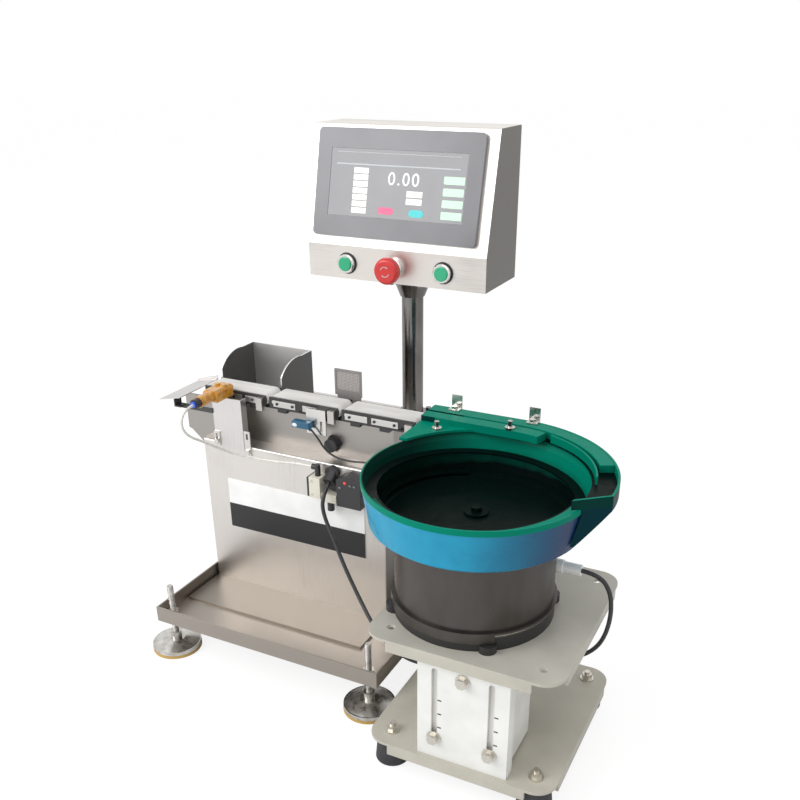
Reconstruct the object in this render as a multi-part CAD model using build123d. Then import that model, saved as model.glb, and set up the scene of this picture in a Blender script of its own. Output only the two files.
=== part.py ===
import os
from math import atan, cos, degrees, pi, radians, sin, tan
from build123d import *

# Checkweigher with its bowl feeder. Millimetres, X along the belts, Y to the rear, Z up, floor at Z 0
# X and Y are counted from the tray's front left corner. The export puts the front left foot at the origin

# Clearances and sheet
fit_gap = 0.4
run_gap = 0.1
seat_gap = 0.8
cut_over = 1.0

# Base tray, its levelling feet and the doubler plate
tray_length = 400.0
tray_depth = 462.0
tray_lift = 60.0
tray_sheet = 2.5
rim_height = 26.0
stud_left = 12.0
stud_right = 26.0
stud_front = 24.0
stud_r = 5.0
stud_play = 0.5
stud_rise = 56.0
nut_flats = 16.0
nut_h = 8.0
foot_r = 39.0
pad_t = 2.0
pad_h = 5.0
pad_wall = 6.0
disc_h = 6.0
dome_h = 7.0
dome_r = 14.0
neck_r = 8.5
neck_h = 12.0
spare_hole_r = 4.0
spare_hole_y = 44.0
plate_t = 4.0
plate_front = 82.0
plate_edge = 4.0

# Cabinet, the riser that carries the belts, the wall in front of it and the sign
cab_left = 6.0
cab_right_space = 62.0
cab_rear_space = 42.0
cab_depth = 267.0
cab_height = 256.5
bend_r = 2.5
amp_right = 70.0
amp_w = 40.0
amp_d = 24.0
valve_left = 49.0
valve_w = 19.0
valve_d = 23.0
valve_h = 34.0
gland_r = 9.5
gland_length = 20.0
gland_low = 20.0
socket_w = 18.0
socket_d = 20.0
socket_in = 2.0
wall_step = 32.0
riser_h = 60.0
riser_over = 1.0
wall_sheet = 2.0
wing_reach = 46.0
wing_drop = 43.0
sign_left = 42.0
sign_w = 254.0
sign_h = 87.0
band_h = 43.0
sign_lift = 106.5
sign_t = 1.0
band_t = 0.6

# Belt modules, left to right
belt_start = 2.0
belt_lengths = (122.0, 129.0)
belt_end_space = 18.0
belt_front = 13.0
belt_w = 45.0
belt_t = 1.5
belt_gap = 1.5
belt_proud = 1.0
roller_r = 7.5
axle_r = 3.0
rail_t = 3.0
rail_h = 18.0
rail_slot_w = 18.0
rail_slot_h = 4.5
block_w = 11.0
block_d = 7.0
block_h = 20.0
slide_front = 54.0
slide_lip = 8.0
slide_t = 1.2
slide_drop = 9.0
eye_back = 77.0
reflector_back = 37.0
leg_w = 16.0
leg_h = 5.0
leg_inset = 24.5

# Pole and control box
pole_left = 70.0
pole_rear = 30.0
pole_r = 17.5
pole_head_h = 32.0
flange_t = 6.0
foot_flange = 56.0
pole_length = 239.0
pole_cone_out = 13.0
pole_flange_out = 27.0
pole_bolt_in = 8.0
pole_bolt_flats = 9.0
pole_bolt_h = 5.5
box_w = 302.0
box_front_y = 326.0
box_lean = 41.0
box_depth = 123.0
strip_h = 51.0
face_h = 173.0
box_bend_r = 3.0
panel_w = 274.0
panel_h = 158.0
panel_t = 7.0
panel_corner = 7.0
panel_rise = 92.0
panel_shift = 4.0
recess_edge = 7.0
recess_depth = 5.0
screen_w = 226.0
screen_h = 98.0
glass_t = 1.0
button_pitch = 82.0
button_rise = 24.0
bore_depth = 20.0
cap_r = 11.0
cap_proud = 10.5
cap_reach = 12.0
ring_r = 14.5
ring_proud = 8.0
stop_r = 20.0
stop_h = 15.0
stop_proud = 32.0

# Feeder stand
stand_right = 29.0
stand_rear = 17.0
hole_dx = 104.0
hole_dy = 114.0
hole_r = 5.5
lobe_r = 29.0
stand_sheet = 4.0
flange_h = 18.0
low_z = 46.0
bolt_r = 4.0
bolt_hole_r = 4.5
bolt_flats = 13.0
bolt_head = 7.0
thread_over = 4.0
washer_r = 10.0
washer_t = 2.0
rubber_r = 24.0
rubber_top = 20.0
column_shift = 8.0
column_w = 126.0
column_side = 21.0
flange_space = 2.0
post_gap = 1.5
post_depth = 93.5
slot_dx = 39.0
slot_r = 4.3
slot_rise = 33.0
slot_length = 106.0
lock_rise = 136.0
lock_r = 4.2

# Feeder drive and bowl
bowl_lap = 2.0
base_r = 108.0
base_h = 19.0
seat_h = 5.0
lug_r = 12.0
lug_h = 11.0
housing_in = 2.0
housing_h = 90.0
skirt_t = 2.2
skirt_h = 12.0
neck_drive_in = 14.0
neck_drive_h = 14.0
bowl_r0 = 139.0
bowl_flare = 9.0
bowl_depth = 61.0
bowl_t = 3.0
lining_t = 2.5
lip_h = 7.0
lip_t = 3.0
ledge_w = 14.0
ledge_t = 2.5
ledge_pitch = 29.0
track_width = 27.0
track_wall = 3.0
track_step = 2.0
track_height = 11.0
lane_inner = 20.0
lane_slot = 5.0
lane_outer = 24.5
clip_w = 16.0
clip_rise = 20.0
clip_hang = 16.0
clip_reach = 14.0
clip_t = 2.0
clip_nut = 8.0
knob_r = 7.0
knob_h = 12.0


def block(x0, x1, y0, y1, z0, z1):
    return Pos((x0 + x1) / 2, (y0 + y1) / 2, (z0 + z1) / 2) * Box(x1 - x0, y1 - y0, z1 - z0)


def rod_z(x, y, z0, z1, r):
    return Pos(x, y, (z0 + z1) / 2) * Cylinder(r, z1 - z0)


def rod_y(x, z, y0, y1, r):
    return Pos(x, (y0 + y1) / 2, z) * Rot(90, 0, 0) * Cylinder(r, y1 - y0)


def rod_x(y, z, x0, x1, r):
    return Pos((x0 + x1) / 2, y, z) * Rot(0, 90, 0) * Cylinder(r, x1 - x0)


def cone_z(x, y, z0, z1, r0, r1):
    return Pos(x, y, (z0 + z1) / 2) * Cone(r0, r1, z1 - z0)


def hexagon_z(x, y, z0, z1, flats):
    outline = Pos(x, y, z0) * RegularPolygon(flats / 2, 6, major_radius=False)
    return extrude(outline, z1 - z0)


def hexagon_y(x, z, y0, y1, flats):
    facing = Plane((x, y1, z), x_dir=(1, 0, 0), z_dir=(0, -1, 0))
    return extrude(facing * RegularPolygon(flats / 2, 6, major_radius=False), y1 - y0)


def profile_x(points, x0, x1):
    outline = Plane.YZ * make_face(Polyline(*points, close=True))
    return Pos(x0, 0, 0) * extrude(outline, x1 - x0)


def profile_y(points, y0, y1):
    outline = Plane((0, y0, 0), x_dir=(1, 0, 0), z_dir=(0, -1, 0)) * make_face(Polyline(*points, close=True))
    return extrude(outline, -(y1 - y0))


def turned(points, x, y):
    return Pos(x, y, 0) * revolve(Plane.XZ * make_face(Polyline(*points, close=True)), Axis.Z)


def together(shapes):
    return Compound(children=[s.solid() for s in shapes])


def cord(points, diameter, name):
    radii = []
    for a, b, c in zip(points, points[1:], points[2:]):
        u = Vector(*b) - Vector(*a)
        v = Vector(*c) - Vector(*b)
        turn = radians(u.get_angle(v))
        radii.append(0.45 * min(u.length, v.length) / tan(turn / 2))
    radii = [min(r, 400.0) for r in radii]
    print(name, "least radius", round(min(radii), 1), "of", diameter, "mm")
    route = FilletPolyline(*points, radius=radii)
    section = Plane(route @ 0, z_dir=route % 0) * Circle(diameter / 2)
    print(name, "length", round(route.length, 1))
    return sweep(section, path=route)


parts = {}

# Base tray of folded sheet, with holes for the studs and one spare hole
tray_floor = tray_lift + tray_sheet
rim_top = tray_lift + rim_height
stud_x = (stud_left, tray_length - stud_right)
stud_y = (stud_front, tray_depth - stud_front)
tray = block(0, tray_length, 0, tray_depth, tray_lift, rim_top)
pocket = block(
    tray_sheet, tray_length - tray_sheet, tray_sheet, tray_depth - tray_sheet,
    tray_floor, rim_top + cut_over)
tray = tray - pocket
for x in stud_x:
    for y in stud_y:
        tray = tray - rod_z(x, y, tray_lift - cut_over, tray_floor + cut_over, stud_r + stud_play)
spare_x = tray_length - spare_hole_r - 10
tray = tray - rod_z(spare_x, spare_hole_y, tray_lift - cut_over, tray_floor + cut_over, spare_hole_r)
parts["base_tray"] = tray

# Levelling feet: a rubber-lined disc, a neck and a stud with a nut each side of the tray
feet = []
pads = []
disc_top = pad_h + disc_h
dome_top = disc_top + dome_h
for x in stud_x:
    for y in stud_y:
        pad = rod_z(x, y, 0, pad_h, foot_r + fit_gap) - rod_z(x, y, pad_t, pad_h + cut_over, foot_r - pad_wall)
        pads.append(pad)
        disc = rod_z(x, y, pad_h, disc_top, foot_r)
        disc = disc + cone_z(x, y, disc_top, dome_top, foot_r - pad_t, dome_r)
        disc = disc + rod_z(x, y, pad_t, pad_h, foot_r - pad_wall - fit_gap)
        disc = disc + rod_z(x, y, dome_top, dome_top + neck_h, neck_r)
        stud = rod_z(x, y, dome_top, tray_lift + stud_rise, stud_r)
        stud = chamfer(stud.edges().group_by(Axis.Z)[-1], stud_r / 5)
        low_nut = hexagon_z(x, y, tray_lift - nut_h, tray_lift, nut_flats)
        top_nut = hexagon_z(x, y, tray_floor, tray_floor + nut_h, nut_flats)
        feet.append(disc + stud + low_nut + top_nut)
parts["levelling_feet"] = together(feet)
parts["foot_pads"] = together(pads)

# Doubler plate under the cabinet
cab_x0 = cab_left
cab_x1 = tray_length - cab_right_space
cab_y1 = tray_depth - cab_rear_space
cab_y0 = cab_y1 - cab_depth
cab_z0 = tray_floor + plate_t
parts["base_plate"] = block(
    cab_x0, cab_x1 - plate_edge, cab_y0 - plate_front, cab_y1 + plate_edge, tray_floor, cab_z0)

# Cabinet with rounded sheet bends
shelf_z = cab_z0 + cab_height
cabinet = block(cab_x0, cab_x1, cab_y0, cab_y1, cab_z0, shelf_z)
bends = cabinet.edges().filter_by(Axis.Z) + cabinet.edges().group_by(Axis.Z)[-1].sort_by(Axis.Y)[:1]
parts["cabinet_body"] = fillet(bends, bend_r)

# Riser that carries the belts, and the wall in front of it with its cut left end
wall_y = cab_y0 + wall_step
body_top = shelf_z + riser_h
belt_y0 = wall_y - belt_front
belt_y1 = belt_y0 + belt_w
riser_x1 = cab_x1 - wall_sheet
riser_y1 = belt_y1 + riser_over
parts["rear_body"] = block(cab_x0, riser_x1, wall_y, riser_y1, shelf_z, body_top)
wing_z = shelf_z - 1
wing_tip = 6.0
wall_points = [
    (cab_x1, shelf_z), (cab_x1, body_top), (-wing_reach, body_top), (-wing_reach, wing_z),
    (-wing_reach + wing_tip, wing_z - 2), (cab_x0, shelf_z - wing_drop), (cab_x0, shelf_z)]
parts["wall_plate"] = profile_y(wall_points, wall_y - wall_sheet, wall_y)

# Sign plates on the front
sign_x0 = cab_x0 + sign_left
sign_x1 = sign_x0 + sign_w
sign_z0 = cab_z0 + sign_lift
sign_y0 = cab_y0 - sign_t
parts["sign_plate"] = block(sign_x0, sign_x1, sign_y0, cab_y0, sign_z0, sign_z0 + sign_h)
parts["sign_band"] = block(sign_x0, sign_x1, sign_y0 - band_t, sign_y0, sign_z0, sign_z0 + band_h)

# Sheet pillar at the left end, folded back at both sides
pillar_left = 27.0
pillar_w = 55.0
pillar_fold = 14.0
pillar_rise = 17.0
pillar_foot = 9.0
pillar_x0 = cab_x0 + pillar_left
pillar_x1 = pillar_x0 + pillar_w
pillar_y0 = cab_y0 - wall_sheet
pillar_top = body_top + pillar_rise
pillar = block(pillar_x0, pillar_x1, pillar_y0, cab_y0, shelf_z - pillar_foot, pillar_top)
for x in (pillar_x0, pillar_x1 - wall_sheet):
    pillar = pillar + block(x, x + wall_sheet, pillar_y0, cab_y0 + pillar_fold - wall_sheet, shelf_z, pillar_top)
parts["end_pillar"] = pillar

# Slotted brackets and their screws at the pillar's foot
strap_w = 11.0
strap_slot = 4.0
brackets = []
strap_x0 = pillar_x0 - 1
strap_x1 = pillar_x1 + 1
left_strap = block(strap_x0, strap_x0 + strap_w, pillar_y0 - wall_sheet, pillar_y0, shelf_z - 5, shelf_z + 19)
right_strap = block(strap_x1, strap_x1 + strap_w, pillar_y0, cab_y0, shelf_z - 15, shelf_z + 27)
for strap in (left_strap, right_strap):
    size = strap.bounding_box()
    middle = (size.min.X + size.max.X) / 2
    slot = block(
        middle - strap_slot / 2, middle + strap_slot / 2, size.min.Y - cut_over, size.max.Y + cut_over,
        size.max.Z - 14, size.max.Z - 4)
    strap = strap - slot
    screw = hexagon_y(middle, size.min.Z + 7, size.min.Y - 3.5, size.min.Y, 8)
    brackets.append(strap + screw)
parts["pillar_brackets"] = together(brackets)

# Air manifold on the pillar, with two nozzles toward the reject belt
man_w = 26.0
man_h = 18.0
man_front = 55.0
man_rear = 17.0
nozzle_r = 2.5
nozzle_dx = 6.0
man_x0 = pillar_x0 + 3
man_x1 = man_x0 + man_w
man_mid = (man_x0 + man_x1) / 2
man_y0 = cab_y0 - man_front
man_y1 = cab_y0 + man_rear
man_z0 = pillar_top
manifold = block(man_x0, man_x1, man_y0 + 30, man_y1, man_z0, man_z0 + man_h)
manifold = chamfer(manifold.edges().filter_by(Axis.Y).group_by(Axis.Z)[-1], 4)
manifold = manifold + rod_y(man_x0 + 14, man_z0 + 9, man_y0, man_y0 + 32, 8.9)
manifold = manifold + rod_y(man_x0 + 14, man_z0 + 9, man_y0 + 12, man_y0 + 18, 9.0)
for x in (man_mid - nozzle_dx, man_mid + nozzle_dx):
    manifold = manifold + rod_y(x, man_z0 + 11, man_y1 - 1, man_y1 + 7, nozzle_r)
    manifold = manifold + rod_z(x, man_y1 - 14, man_z0 + man_h - 1, man_z0 + man_h + 3, 4.5)
parts["air_manifold"] = manifold
fit_x = man_x0 + 14
fit_z = man_z0 + 9
fit_r = 7.5
ring_out = 4.6
parts["air_fitting"] = rod_y(fit_x, fit_z, man_y0 - 10, man_y0, fit_r) - rod_y(
    fit_x, fit_z, man_y0 - 11, man_y0 - 6, ring_out + 0.2)
parts["release_ring"] = rod_y(fit_x, fit_z, man_y0 - 13, man_y0 - 6, ring_out) - rod_y(
    fit_x, fit_z, man_y0 - 14, man_y0 - 5, 2.2)

# Discharge slide at the left end and its dark bracket
slide_x0 = -wing_reach + 2
slide_x1 = belt_start - 4
slide_y0 = belt_y0 - slide_front
slide_y1 = belt_y1 - 1
slide_z = body_top + leg_h + rail_h - 5
low_slide = slide_z - slide_drop
slide_points = [
    (slide_x0, low_slide), (slide_x1, slide_z), (slide_x1, slide_z + slide_t), (slide_x0, low_slide + slide_t)]
slide = profile_y(slide_points, slide_y0, slide_y1)
lip_points = [
    (slide_x0, low_slide + slide_t / 2), (slide_x1, slide_z + slide_t / 2),
    (slide_x1, slide_z + slide_lip), (slide_x0, low_slide + slide_lip / 2)]
parts["discharge_slide"] = slide + profile_y(lip_points, slide_y1 - slide_t, slide_y1)
arm_x0 = slide_x0 + 14
hanger = block(arm_x0, pillar_x0, pillar_y0 - wall_sheet, pillar_y0, body_top - 12, body_top - 4)
hanger = hanger + block(arm_x0, arm_x0 + 12, pillar_y0 - 16, pillar_y0, body_top - 6, body_top - 4)
hanger = hanger + block(arm_x0, arm_x0 + 2, pillar_y0 - 16, pillar_y0, body_top - 6, slide_z)
under_slide = [(slide_x0, low_slide), (slide_x1, slide_z), (slide_x1, slide_z + 30), (slide_x0, slide_z + 30)]
parts["slide_bracket"] = hanger - profile_y(under_slide, slide_y0 - cut_over, slide_y1)

# Three belt modules: belt loops, rollers, slotted rails with a bed, and end blocks
belts = []
rollers = []
rails = []
blocks = []
legs = []
rail_bottom = body_top + leg_h
rail_top = rail_bottom + rail_h
belt_top = rail_top + belt_proud
roller_z = belt_top - belt_t - roller_r
loop_r = roller_r + belt_t
belt_in0 = belt_y0 + rail_t + seat_gap
belt_in1 = belt_y1 - rail_t - seat_gap
belt_x = [belt_start]
for length in belt_lengths:
    belt_x.append(belt_x[-1] + length)
belt_x.append(tray_length - belt_end_space)
for x0, x1 in zip(belt_x, belt_x[1:]):
    a = x0 + belt_gap
    b = x1 - belt_gap
    plane = Plane(((a + b) / 2, belt_in1, roller_z), x_dir=(1, 0, 0), z_dir=(0, -1, 0))
    span = b - a - 2 * loop_r
    loop = plane * (SlotCenterToCenter(span, 2 * loop_r) - SlotCenterToCenter(span, 2 * roller_r))
    belts.append(extrude(loop, belt_in1 - belt_in0))
    axles = (a + loop_r, b - loop_r)
    for x in axles:
        barrel = rod_y(x, roller_z, belt_in0, belt_in1, roller_r - run_gap)
        rollers.append(barrel + rod_y(x, roller_z, belt_y0 + 0.5, belt_y1 - 0.5, axle_r))
    bed_x0 = axles[0] + loop_r
    bed_x1 = axles[1] - loop_r
    bed_z0 = roller_z - roller_r + belt_t
    module = block(bed_x0, bed_x1, belt_in0, belt_in1, bed_z0, roller_z + roller_r)
    module = module + block(a + leg_inset, b - leg_inset, belt_y0, belt_y1, bed_z0, roller_z + axle_r)
    for y in (belt_y0, belt_y1 - rail_t):
        rail = block(a + 2, b - 2, y, y + rail_t, rail_bottom, rail_top)
        for x in axles:
            rail = rail - rod_y(x, roller_z, y - cut_over, y + rail_t + cut_over, axle_r + run_gap)
        for k in (0.22, 0.5, 0.78):
            x = a + (b - a) * k
            slot = Plane((x, y - cut_over, rail_bottom + 5), x_dir=(1, 0, 0), z_dir=(0, 1, 0))
            rail = rail - extrude(slot * SlotOverall(rail_slot_w, rail_slot_h), rail_t + 2 * cut_over)
        module = module + rail
    rails.append(module)
    blocks.append(block(b - 5 - block_w, b - 5, belt_y0 - block_d, belt_y0, rail_top - block_h - 3, rail_top - 3))
    leg_x = (a + leg_inset, min(b - leg_inset, riser_x1 - leg_w / 2))
    for x in leg_x:
        legs.append(block(x - leg_w / 2, x + leg_w / 2, belt_y0, belt_y1, body_top, rail_bottom))
parts["conveyor_belts"] = together(belts)
parts["belt_rollers"] = together(rollers)
parts["belt_rails"] = together(rails)
parts["end_blocks"] = together(blocks)
parts["belt_legs"] = together(legs)

# Reject bin behind the left belt, on the cabinet's top, with rounded cheeks
bin_w = 117.0
bin_d = 92.0
bin_over = 57.0
bin_cheek = 20.0
bin_curve = 60.0
bin_t = 2.0
bin_x0 = belt_start + 1
bin_x1 = bin_x0 + bin_w
bin_y0 = riser_y1 + 2
bin_y1 = bin_y0 + bin_d
bin_top = body_top + bin_over
low = Vector(bin_y0, bin_top - bin_cheek)
high = Vector(bin_y0 + bin_curve, bin_top)
half = Vector(bin_y0 + bin_curve * (1 - cos(pi / 4)), bin_top - bin_cheek + bin_cheek * sin(pi / 4))
edges = [
    ThreePointArc((low.X, low.Y), (half.X, half.Y), (high.X, high.Y)),
    Line((high.X, high.Y), (bin_y1, bin_top)),
    Line((bin_y1, bin_top), (bin_y1, shelf_z)),
    Line((bin_y1, shelf_z), (bin_y0, shelf_z)),
    Line((bin_y0, shelf_z), (low.X, low.Y))]
cheek = extrude(Plane.YZ * make_face(edges), bin_t)
reject = Pos(bin_x0, 0, 0) * cheek + Pos(bin_x1 - bin_t, 0, 0) * cheek
reject = reject + block(bin_x0, bin_x1, bin_y1 - bin_t, bin_y1, shelf_z, bin_top)
reject = reject + block(bin_x0, bin_x1, bin_y0, bin_y1, shelf_z, shelf_z + bin_t)
parts["reject_bin"] = reject + block(bin_x0, bin_x1, bin_y0, bin_y0 + bin_t, shelf_z, body_top)

# Photo-eye under the front rail and its slotted bracket
eye_x0 = belt_x[2] - eye_back
eye_w = 36.0
eye_d = 13.0
eye_h = 14.0
eye_cut = 7.0
eye_y1 = belt_y0 - block_d
eye_top = rail_top - 23
eye_x1 = eye_x0 + eye_w
eye = block(eye_x0, eye_x1, eye_y1 - eye_d, eye_y1, eye_top - eye_h, eye_top)
corner = eye.edges().filter_by(Axis.Y).sort_by(lambda e: e.center().X - e.center().Z)[-1:]
parts["photo_eye"] = chamfer(corner, eye_cut)
arm_x0 = eye_x1 - 14
arm_x1 = eye_x1 + 20
arm_y1 = eye_y1 + wall_sheet
arm = block(arm_x0, arm_x1, eye_y1, arm_y1, eye_top - eye_h - 7, rail_top - 4)
arm = arm + block(arm_x0 + 16, arm_x1, eye_y1, belt_y0, rail_top - 12, rail_top - 4)
arm = arm - block(arm_x0 + 5, arm_x0 + 8, eye_y1 - cut_over, arm_y1 + cut_over, eye_top - 18, eye_top - 15.5)
arm = arm - block(arm_x0 + 24, arm_x0 + 28, eye_y1 - cut_over, arm_y1 + cut_over, eye_top - 15, eye_top + 1)
parts["photo_eye_bracket"] = arm

# Reflector plate behind the belts, screwed to the rear rail
ref_x0 = belt_x[2] - reflector_back
ref_w = 46.0
ref_h = 42.0
ref_t = 4.0
ref_edge = 3.0
ref_x1 = ref_x0 + ref_w
ref_y = belt_y1 + 6
ref_z0 = belt_top + 1
ref_z1 = ref_z0 + ref_h - 1
ref = block(ref_x0, ref_x1, ref_y, ref_y + ref_t, ref_z0, ref_z1)
ref = ref - block(ref_x0 + ref_edge, ref_x1 - ref_edge, ref_y - 1, ref_y + 1, ref_z0 + 9, ref_z1 - ref_edge)
tab = block(ref_x0 + 4, ref_x1 - 2, ref_y, ref_y + ref_t, rail_top - 10, ref_z0 + 1)
tab = tab + block(ref_x0 + 4, ref_x1 - 2, belt_y1, ref_y + ref_t, rail_top - 10, rail_top - 6)
parts["reflector"] = ref + tab

# Pole with its foot flange and its tapered head
pole_x = cab_x1 - pole_left
pole_y = cab_y1 - pole_rear
pole_top = shelf_z + pole_length
flange_half = foot_flange / 2
pole = rod_z(pole_x, pole_y, shelf_z, pole_top - flange_t, pole_r)
foot = block(
    pole_x - flange_half, pole_x + flange_half, pole_y - flange_half, pole_y + flange_half,
    shelf_z, shelf_z + flange_t)
pole = pole + fillet(foot.edges().filter_by(Axis.Z), flange_t)
pole = pole + cone_z(pole_x, pole_y, pole_top - pole_head_h, pole_top - flange_t, pole_r + 2.5, pole_r + pole_cone_out)
pole = pole + rod_z(pole_x, pole_y, pole_top - flange_t, pole_top, pole_r + pole_flange_out)
foot_bolt = flange_half - pole_bolt_in
head_bolt = (pole_r + pole_flange_out - pole_bolt_in) * cos(pi / 4)
for dx in (-1, 1):
    for dy in (-1, 1):
        head_x = pole_x + dx * head_bolt
        head_y = pole_y + dy * head_bolt
        nut_z = pole_top - flange_t
        pole = pole + hexagon_z(head_x, head_y, nut_z - pole_bolt_h, nut_z, pole_bolt_flats)
        foot_x = pole_x + dx * foot_bolt
        foot_y = pole_y + dy * foot_bolt
        nut_z = shelf_z + flange_t
        pole = pole + hexagon_z(foot_x, foot_y, nut_z, nut_z + pole_bolt_h, pole_bolt_flats)
parts["pole"] = pole

# Control box: upright button strip below, leaning panel face above
box_z0 = pole_top
box_bend = box_z0 + strip_h
box_z1 = box_bend + face_h
box_front = box_front_y
box_top_front = box_front + box_lean
box_rear = box_front + box_depth
box_x0 = pole_x - box_w / 2
box_x1 = pole_x + box_w / 2
side_outline = [
    (box_front, box_z0), (box_front, box_bend), (box_top_front, box_z1),
    (box_rear, box_z1), (box_rear, box_z0)]
case = profile_x(side_outline, box_x0, box_x1)
case = fillet(case.edges().filter_by(Axis.X).sort_by(Axis.Z)[-2:], box_bend_r)
button_z = box_z0 + button_rise
button_places = (pole_x - button_pitch, pole_x, pole_x + button_pitch)
bore_r = cap_r + run_gap
for x in button_places:
    case = case - rod_y(x, button_z, box_front - cut_over, box_front + bore_depth, bore_r)
lean = Vector(0, box_lean, face_h).normalized()
out = Vector(0, -lean.Z, lean.Y)
face = Plane((pole_x, box_front, box_bend), x_dir=(1, 0, 0), z_dir=out)
recess_w = panel_w - 2 * recess_edge
recess_h = panel_h - 2 * recess_edge
recess = face * Pos(-panel_shift, panel_rise, -recess_depth / 2) * Box(recess_w, recess_h, recess_depth)
parts["control_box"] = case - recess
slab = face * Pos(-panel_shift, panel_rise, panel_t / 2) * Box(panel_w, panel_h, panel_t)
slab = fillet(slab.edges().filter_by(Axis(origin=(0, 0, 0), direction=out)), panel_corner)
plug = face * Pos(-panel_shift, panel_rise, -(recess_depth - fit_gap) / 2) * Box(
    recess_w - fit_gap, recess_h - fit_gap, recess_depth - fit_gap)
well_t = glass_t + 0.5
well = face * Pos(-panel_shift, panel_rise + 1, panel_t - well_t / 2) * Box(screen_w, screen_h, well_t)
parts["touch_panel"] = slab + plug - well
parts["panel_screen"] = face * Pos(-panel_shift, panel_rise + 1, panel_t - well_t + glass_t / 2) * Box(
    screen_w - fit_gap, screen_h - fit_gap, glass_t)

# Button rings, green caps and the emergency stop
rings = []
for x in button_places:
    ring = rod_y(x, button_z, box_front - ring_proud, box_front, ring_r)
    ring = ring - rod_y(x, button_z, box_front - ring_proud - cut_over, box_front + cut_over, bore_r)
    ring = chamfer(ring.edges().filter_by(GeomType.CIRCLE).group_by(Axis.Y)[0].sort_by(SortBy.RADIUS)[-1:], 1.5)
    rings.append(ring)
parts["button_rings"] = together(rings)
caps = []
for x in (button_places[0], button_places[2]):
    cap = rod_y(x, button_z, box_front - cap_proud, box_front + cap_reach, cap_r)
    caps.append(fillet(cap.edges().group_by(Axis.Y)[0], 1.5))
parts["start_button"] = caps[0]
parts["reset_button"] = caps[1]
stop_y0 = box_front - stop_proud
stop = rod_y(pole_x, button_z, stop_y0, stop_y0 + stop_h, stop_r)
stop = fillet(stop.edges().group_by(Axis.Y)[0], stop_h * 0.4)
stop = fillet(stop.edges().group_by(Axis.Y)[-1], stop_h * 0.2)
parts["emergency_stop"] = stop + rod_y(pole_x, button_z, stop_y0 + stop_h - 1, box_front + cap_reach, cap_r)

# Cable glands on the cabinet, and the plug socket on the shelf
amp_x0 = cab_x1 - amp_right
valve_x = amp_x0 - valve_left
glands = []
wall_gx = valve_x + 17
wall_gz = shelf_z + 22
wall_face = wall_y - wall_sheet
wall_gland = rod_y(wall_gx, wall_gz, wall_face - 15, wall_face, gland_r + 1)
glands.append(wall_gland + hexagon_y(wall_gx, wall_gz, wall_face - 6, wall_face, 2 * gland_r + 4))
front_gx = valve_x + 31
front_gz = shelf_z - 12
tilt = Plane((front_gx, cab_y0, front_gz), x_dir=(1, 0, 0), z_dir=Vector(0, -0.8, -0.6))
front_gland = tilt * Pos(0, 0, gland_length / 2 - 1) * Cylinder(gland_r, gland_length)
inside = rod_y(front_gx, front_gz, cab_y0, cab_y0 + 2 * gland_length, 2 * gland_length)
glands.append(front_gland - inside + rod_y(front_gx, front_gz, cab_y0 - 7, cab_y0, gland_r + 2))
glands.append(rod_y(front_gx + 2, front_gz - gland_low, cab_y0 - 9, cab_y0, gland_r - 2.5))
socket_x1 = cab_x1 - socket_in
socket_y0 = cab_y0 + bend_r + 0.5
glands.append(block(socket_x1 - socket_w, socket_x1, socket_y0, socket_y0 + socket_d, shelf_z, shelf_z + socket_w))
parts["cable_glands"] = together(glands)

# Solenoid valve with its cap, elbow and supply fitting
valve_top = shelf_z - 17
valve_y0 = cab_y0 - valve_d
valve_x1 = valve_x + valve_w
low_top = valve_top - 24
low_bottom = low_top - 14
valve = block(valve_x, valve_x1, valve_y0, cab_y0, valve_top - valve_h, valve_top)
parts["solenoid_valve"] = valve + block(valve_x1, valve_x1 + 26, valve_y0 + 3, cab_y0, low_bottom, low_top)
fits = [block(valve_x - 5, valve_x, valve_y0 + 2, cab_y0, valve_top - valve_h, valve_top - 2)]
elbow_x = valve_x + 10
elbow_y = cab_y0 - 12
elbow_z = valve_top + 13.5
elbow = rod_z(elbow_x, elbow_y, valve_top, elbow_z + 4.5, 4.5)
elbow = elbow + rod_x(elbow_y, elbow_z, valve_x + 1, elbow_x, 4.5)
fits.append(elbow - rod_x(elbow_y, elbow_z, valve_x, valve_x + 3.5, 2.1))
fits.append(rod_z(valve_x1 + 12, elbow_y, low_bottom - 16, low_bottom, 5.5))
parts["valve_fittings"] = together(fits)

# Sensor amplifier with its sloping top
amp_z1 = low_bottom + 52
amp_points = [
    (amp_x0, low_bottom), (amp_x0 + amp_w, low_bottom), (amp_x0 + amp_w, amp_z1 - 4),
    (amp_x0 + amp_w * 0.4, amp_z1), (amp_x0, amp_z1 - 8)]
parts["sensor_amplifier"] = profile_y(amp_points, cab_y0 - amp_d, cab_y0)

# Cords that hang between the units
eye_cord = [
    (208.5, 158.5, 372.5), (221, 158.5, 360), (230, 161, 342), (246, 164.5, 330),
    (271, 166, 327), (298, 166, 331), (318, 166, 331)]
parts["sensor_cable"] = cord(eye_cord, 3.0, "sensor_cable")
tube_points = [
    (50, 92, 409), (50, 68, 409), (49, 54, 393), (52, 58, 371), (66, 84, 352),
    (84, 114, 328), (112, 134, 316), (158, 140, 315), (194, 141.5, 319), (222, 141, 319.5)]
parts["air_tube"] = cord(tube_points, 4.0, "air_tube")
low_cord = [
    (250, 137.8, 299.6), (250, 115.8, 283.1), (253, 113, 258), (270, 106, 232), (299, 92, 189),
    (332, 76, 152), (364, 56, 128), (399, 42, 106), (438, 48, 86), (475, 72, 78),
    (515, 98, 82), (560, 110, 92), (600, 112, 104)]
parts["drive_cable_lower"] = cord(low_cord, 6.0, "drive_cable_lower")
high_cord = [
    (600, 112, 104), (636, 113.8, 114.8), (668, 104, 136), (690, 92, 165), (702, 83, 198),
    (706, 80, 232), (702, 80, 263), (685, 80, 284), (660, 80, 284)]
parts["drive_cable_upper"] = cord(high_cord, 6.0, "drive_cable_upper")

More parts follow.
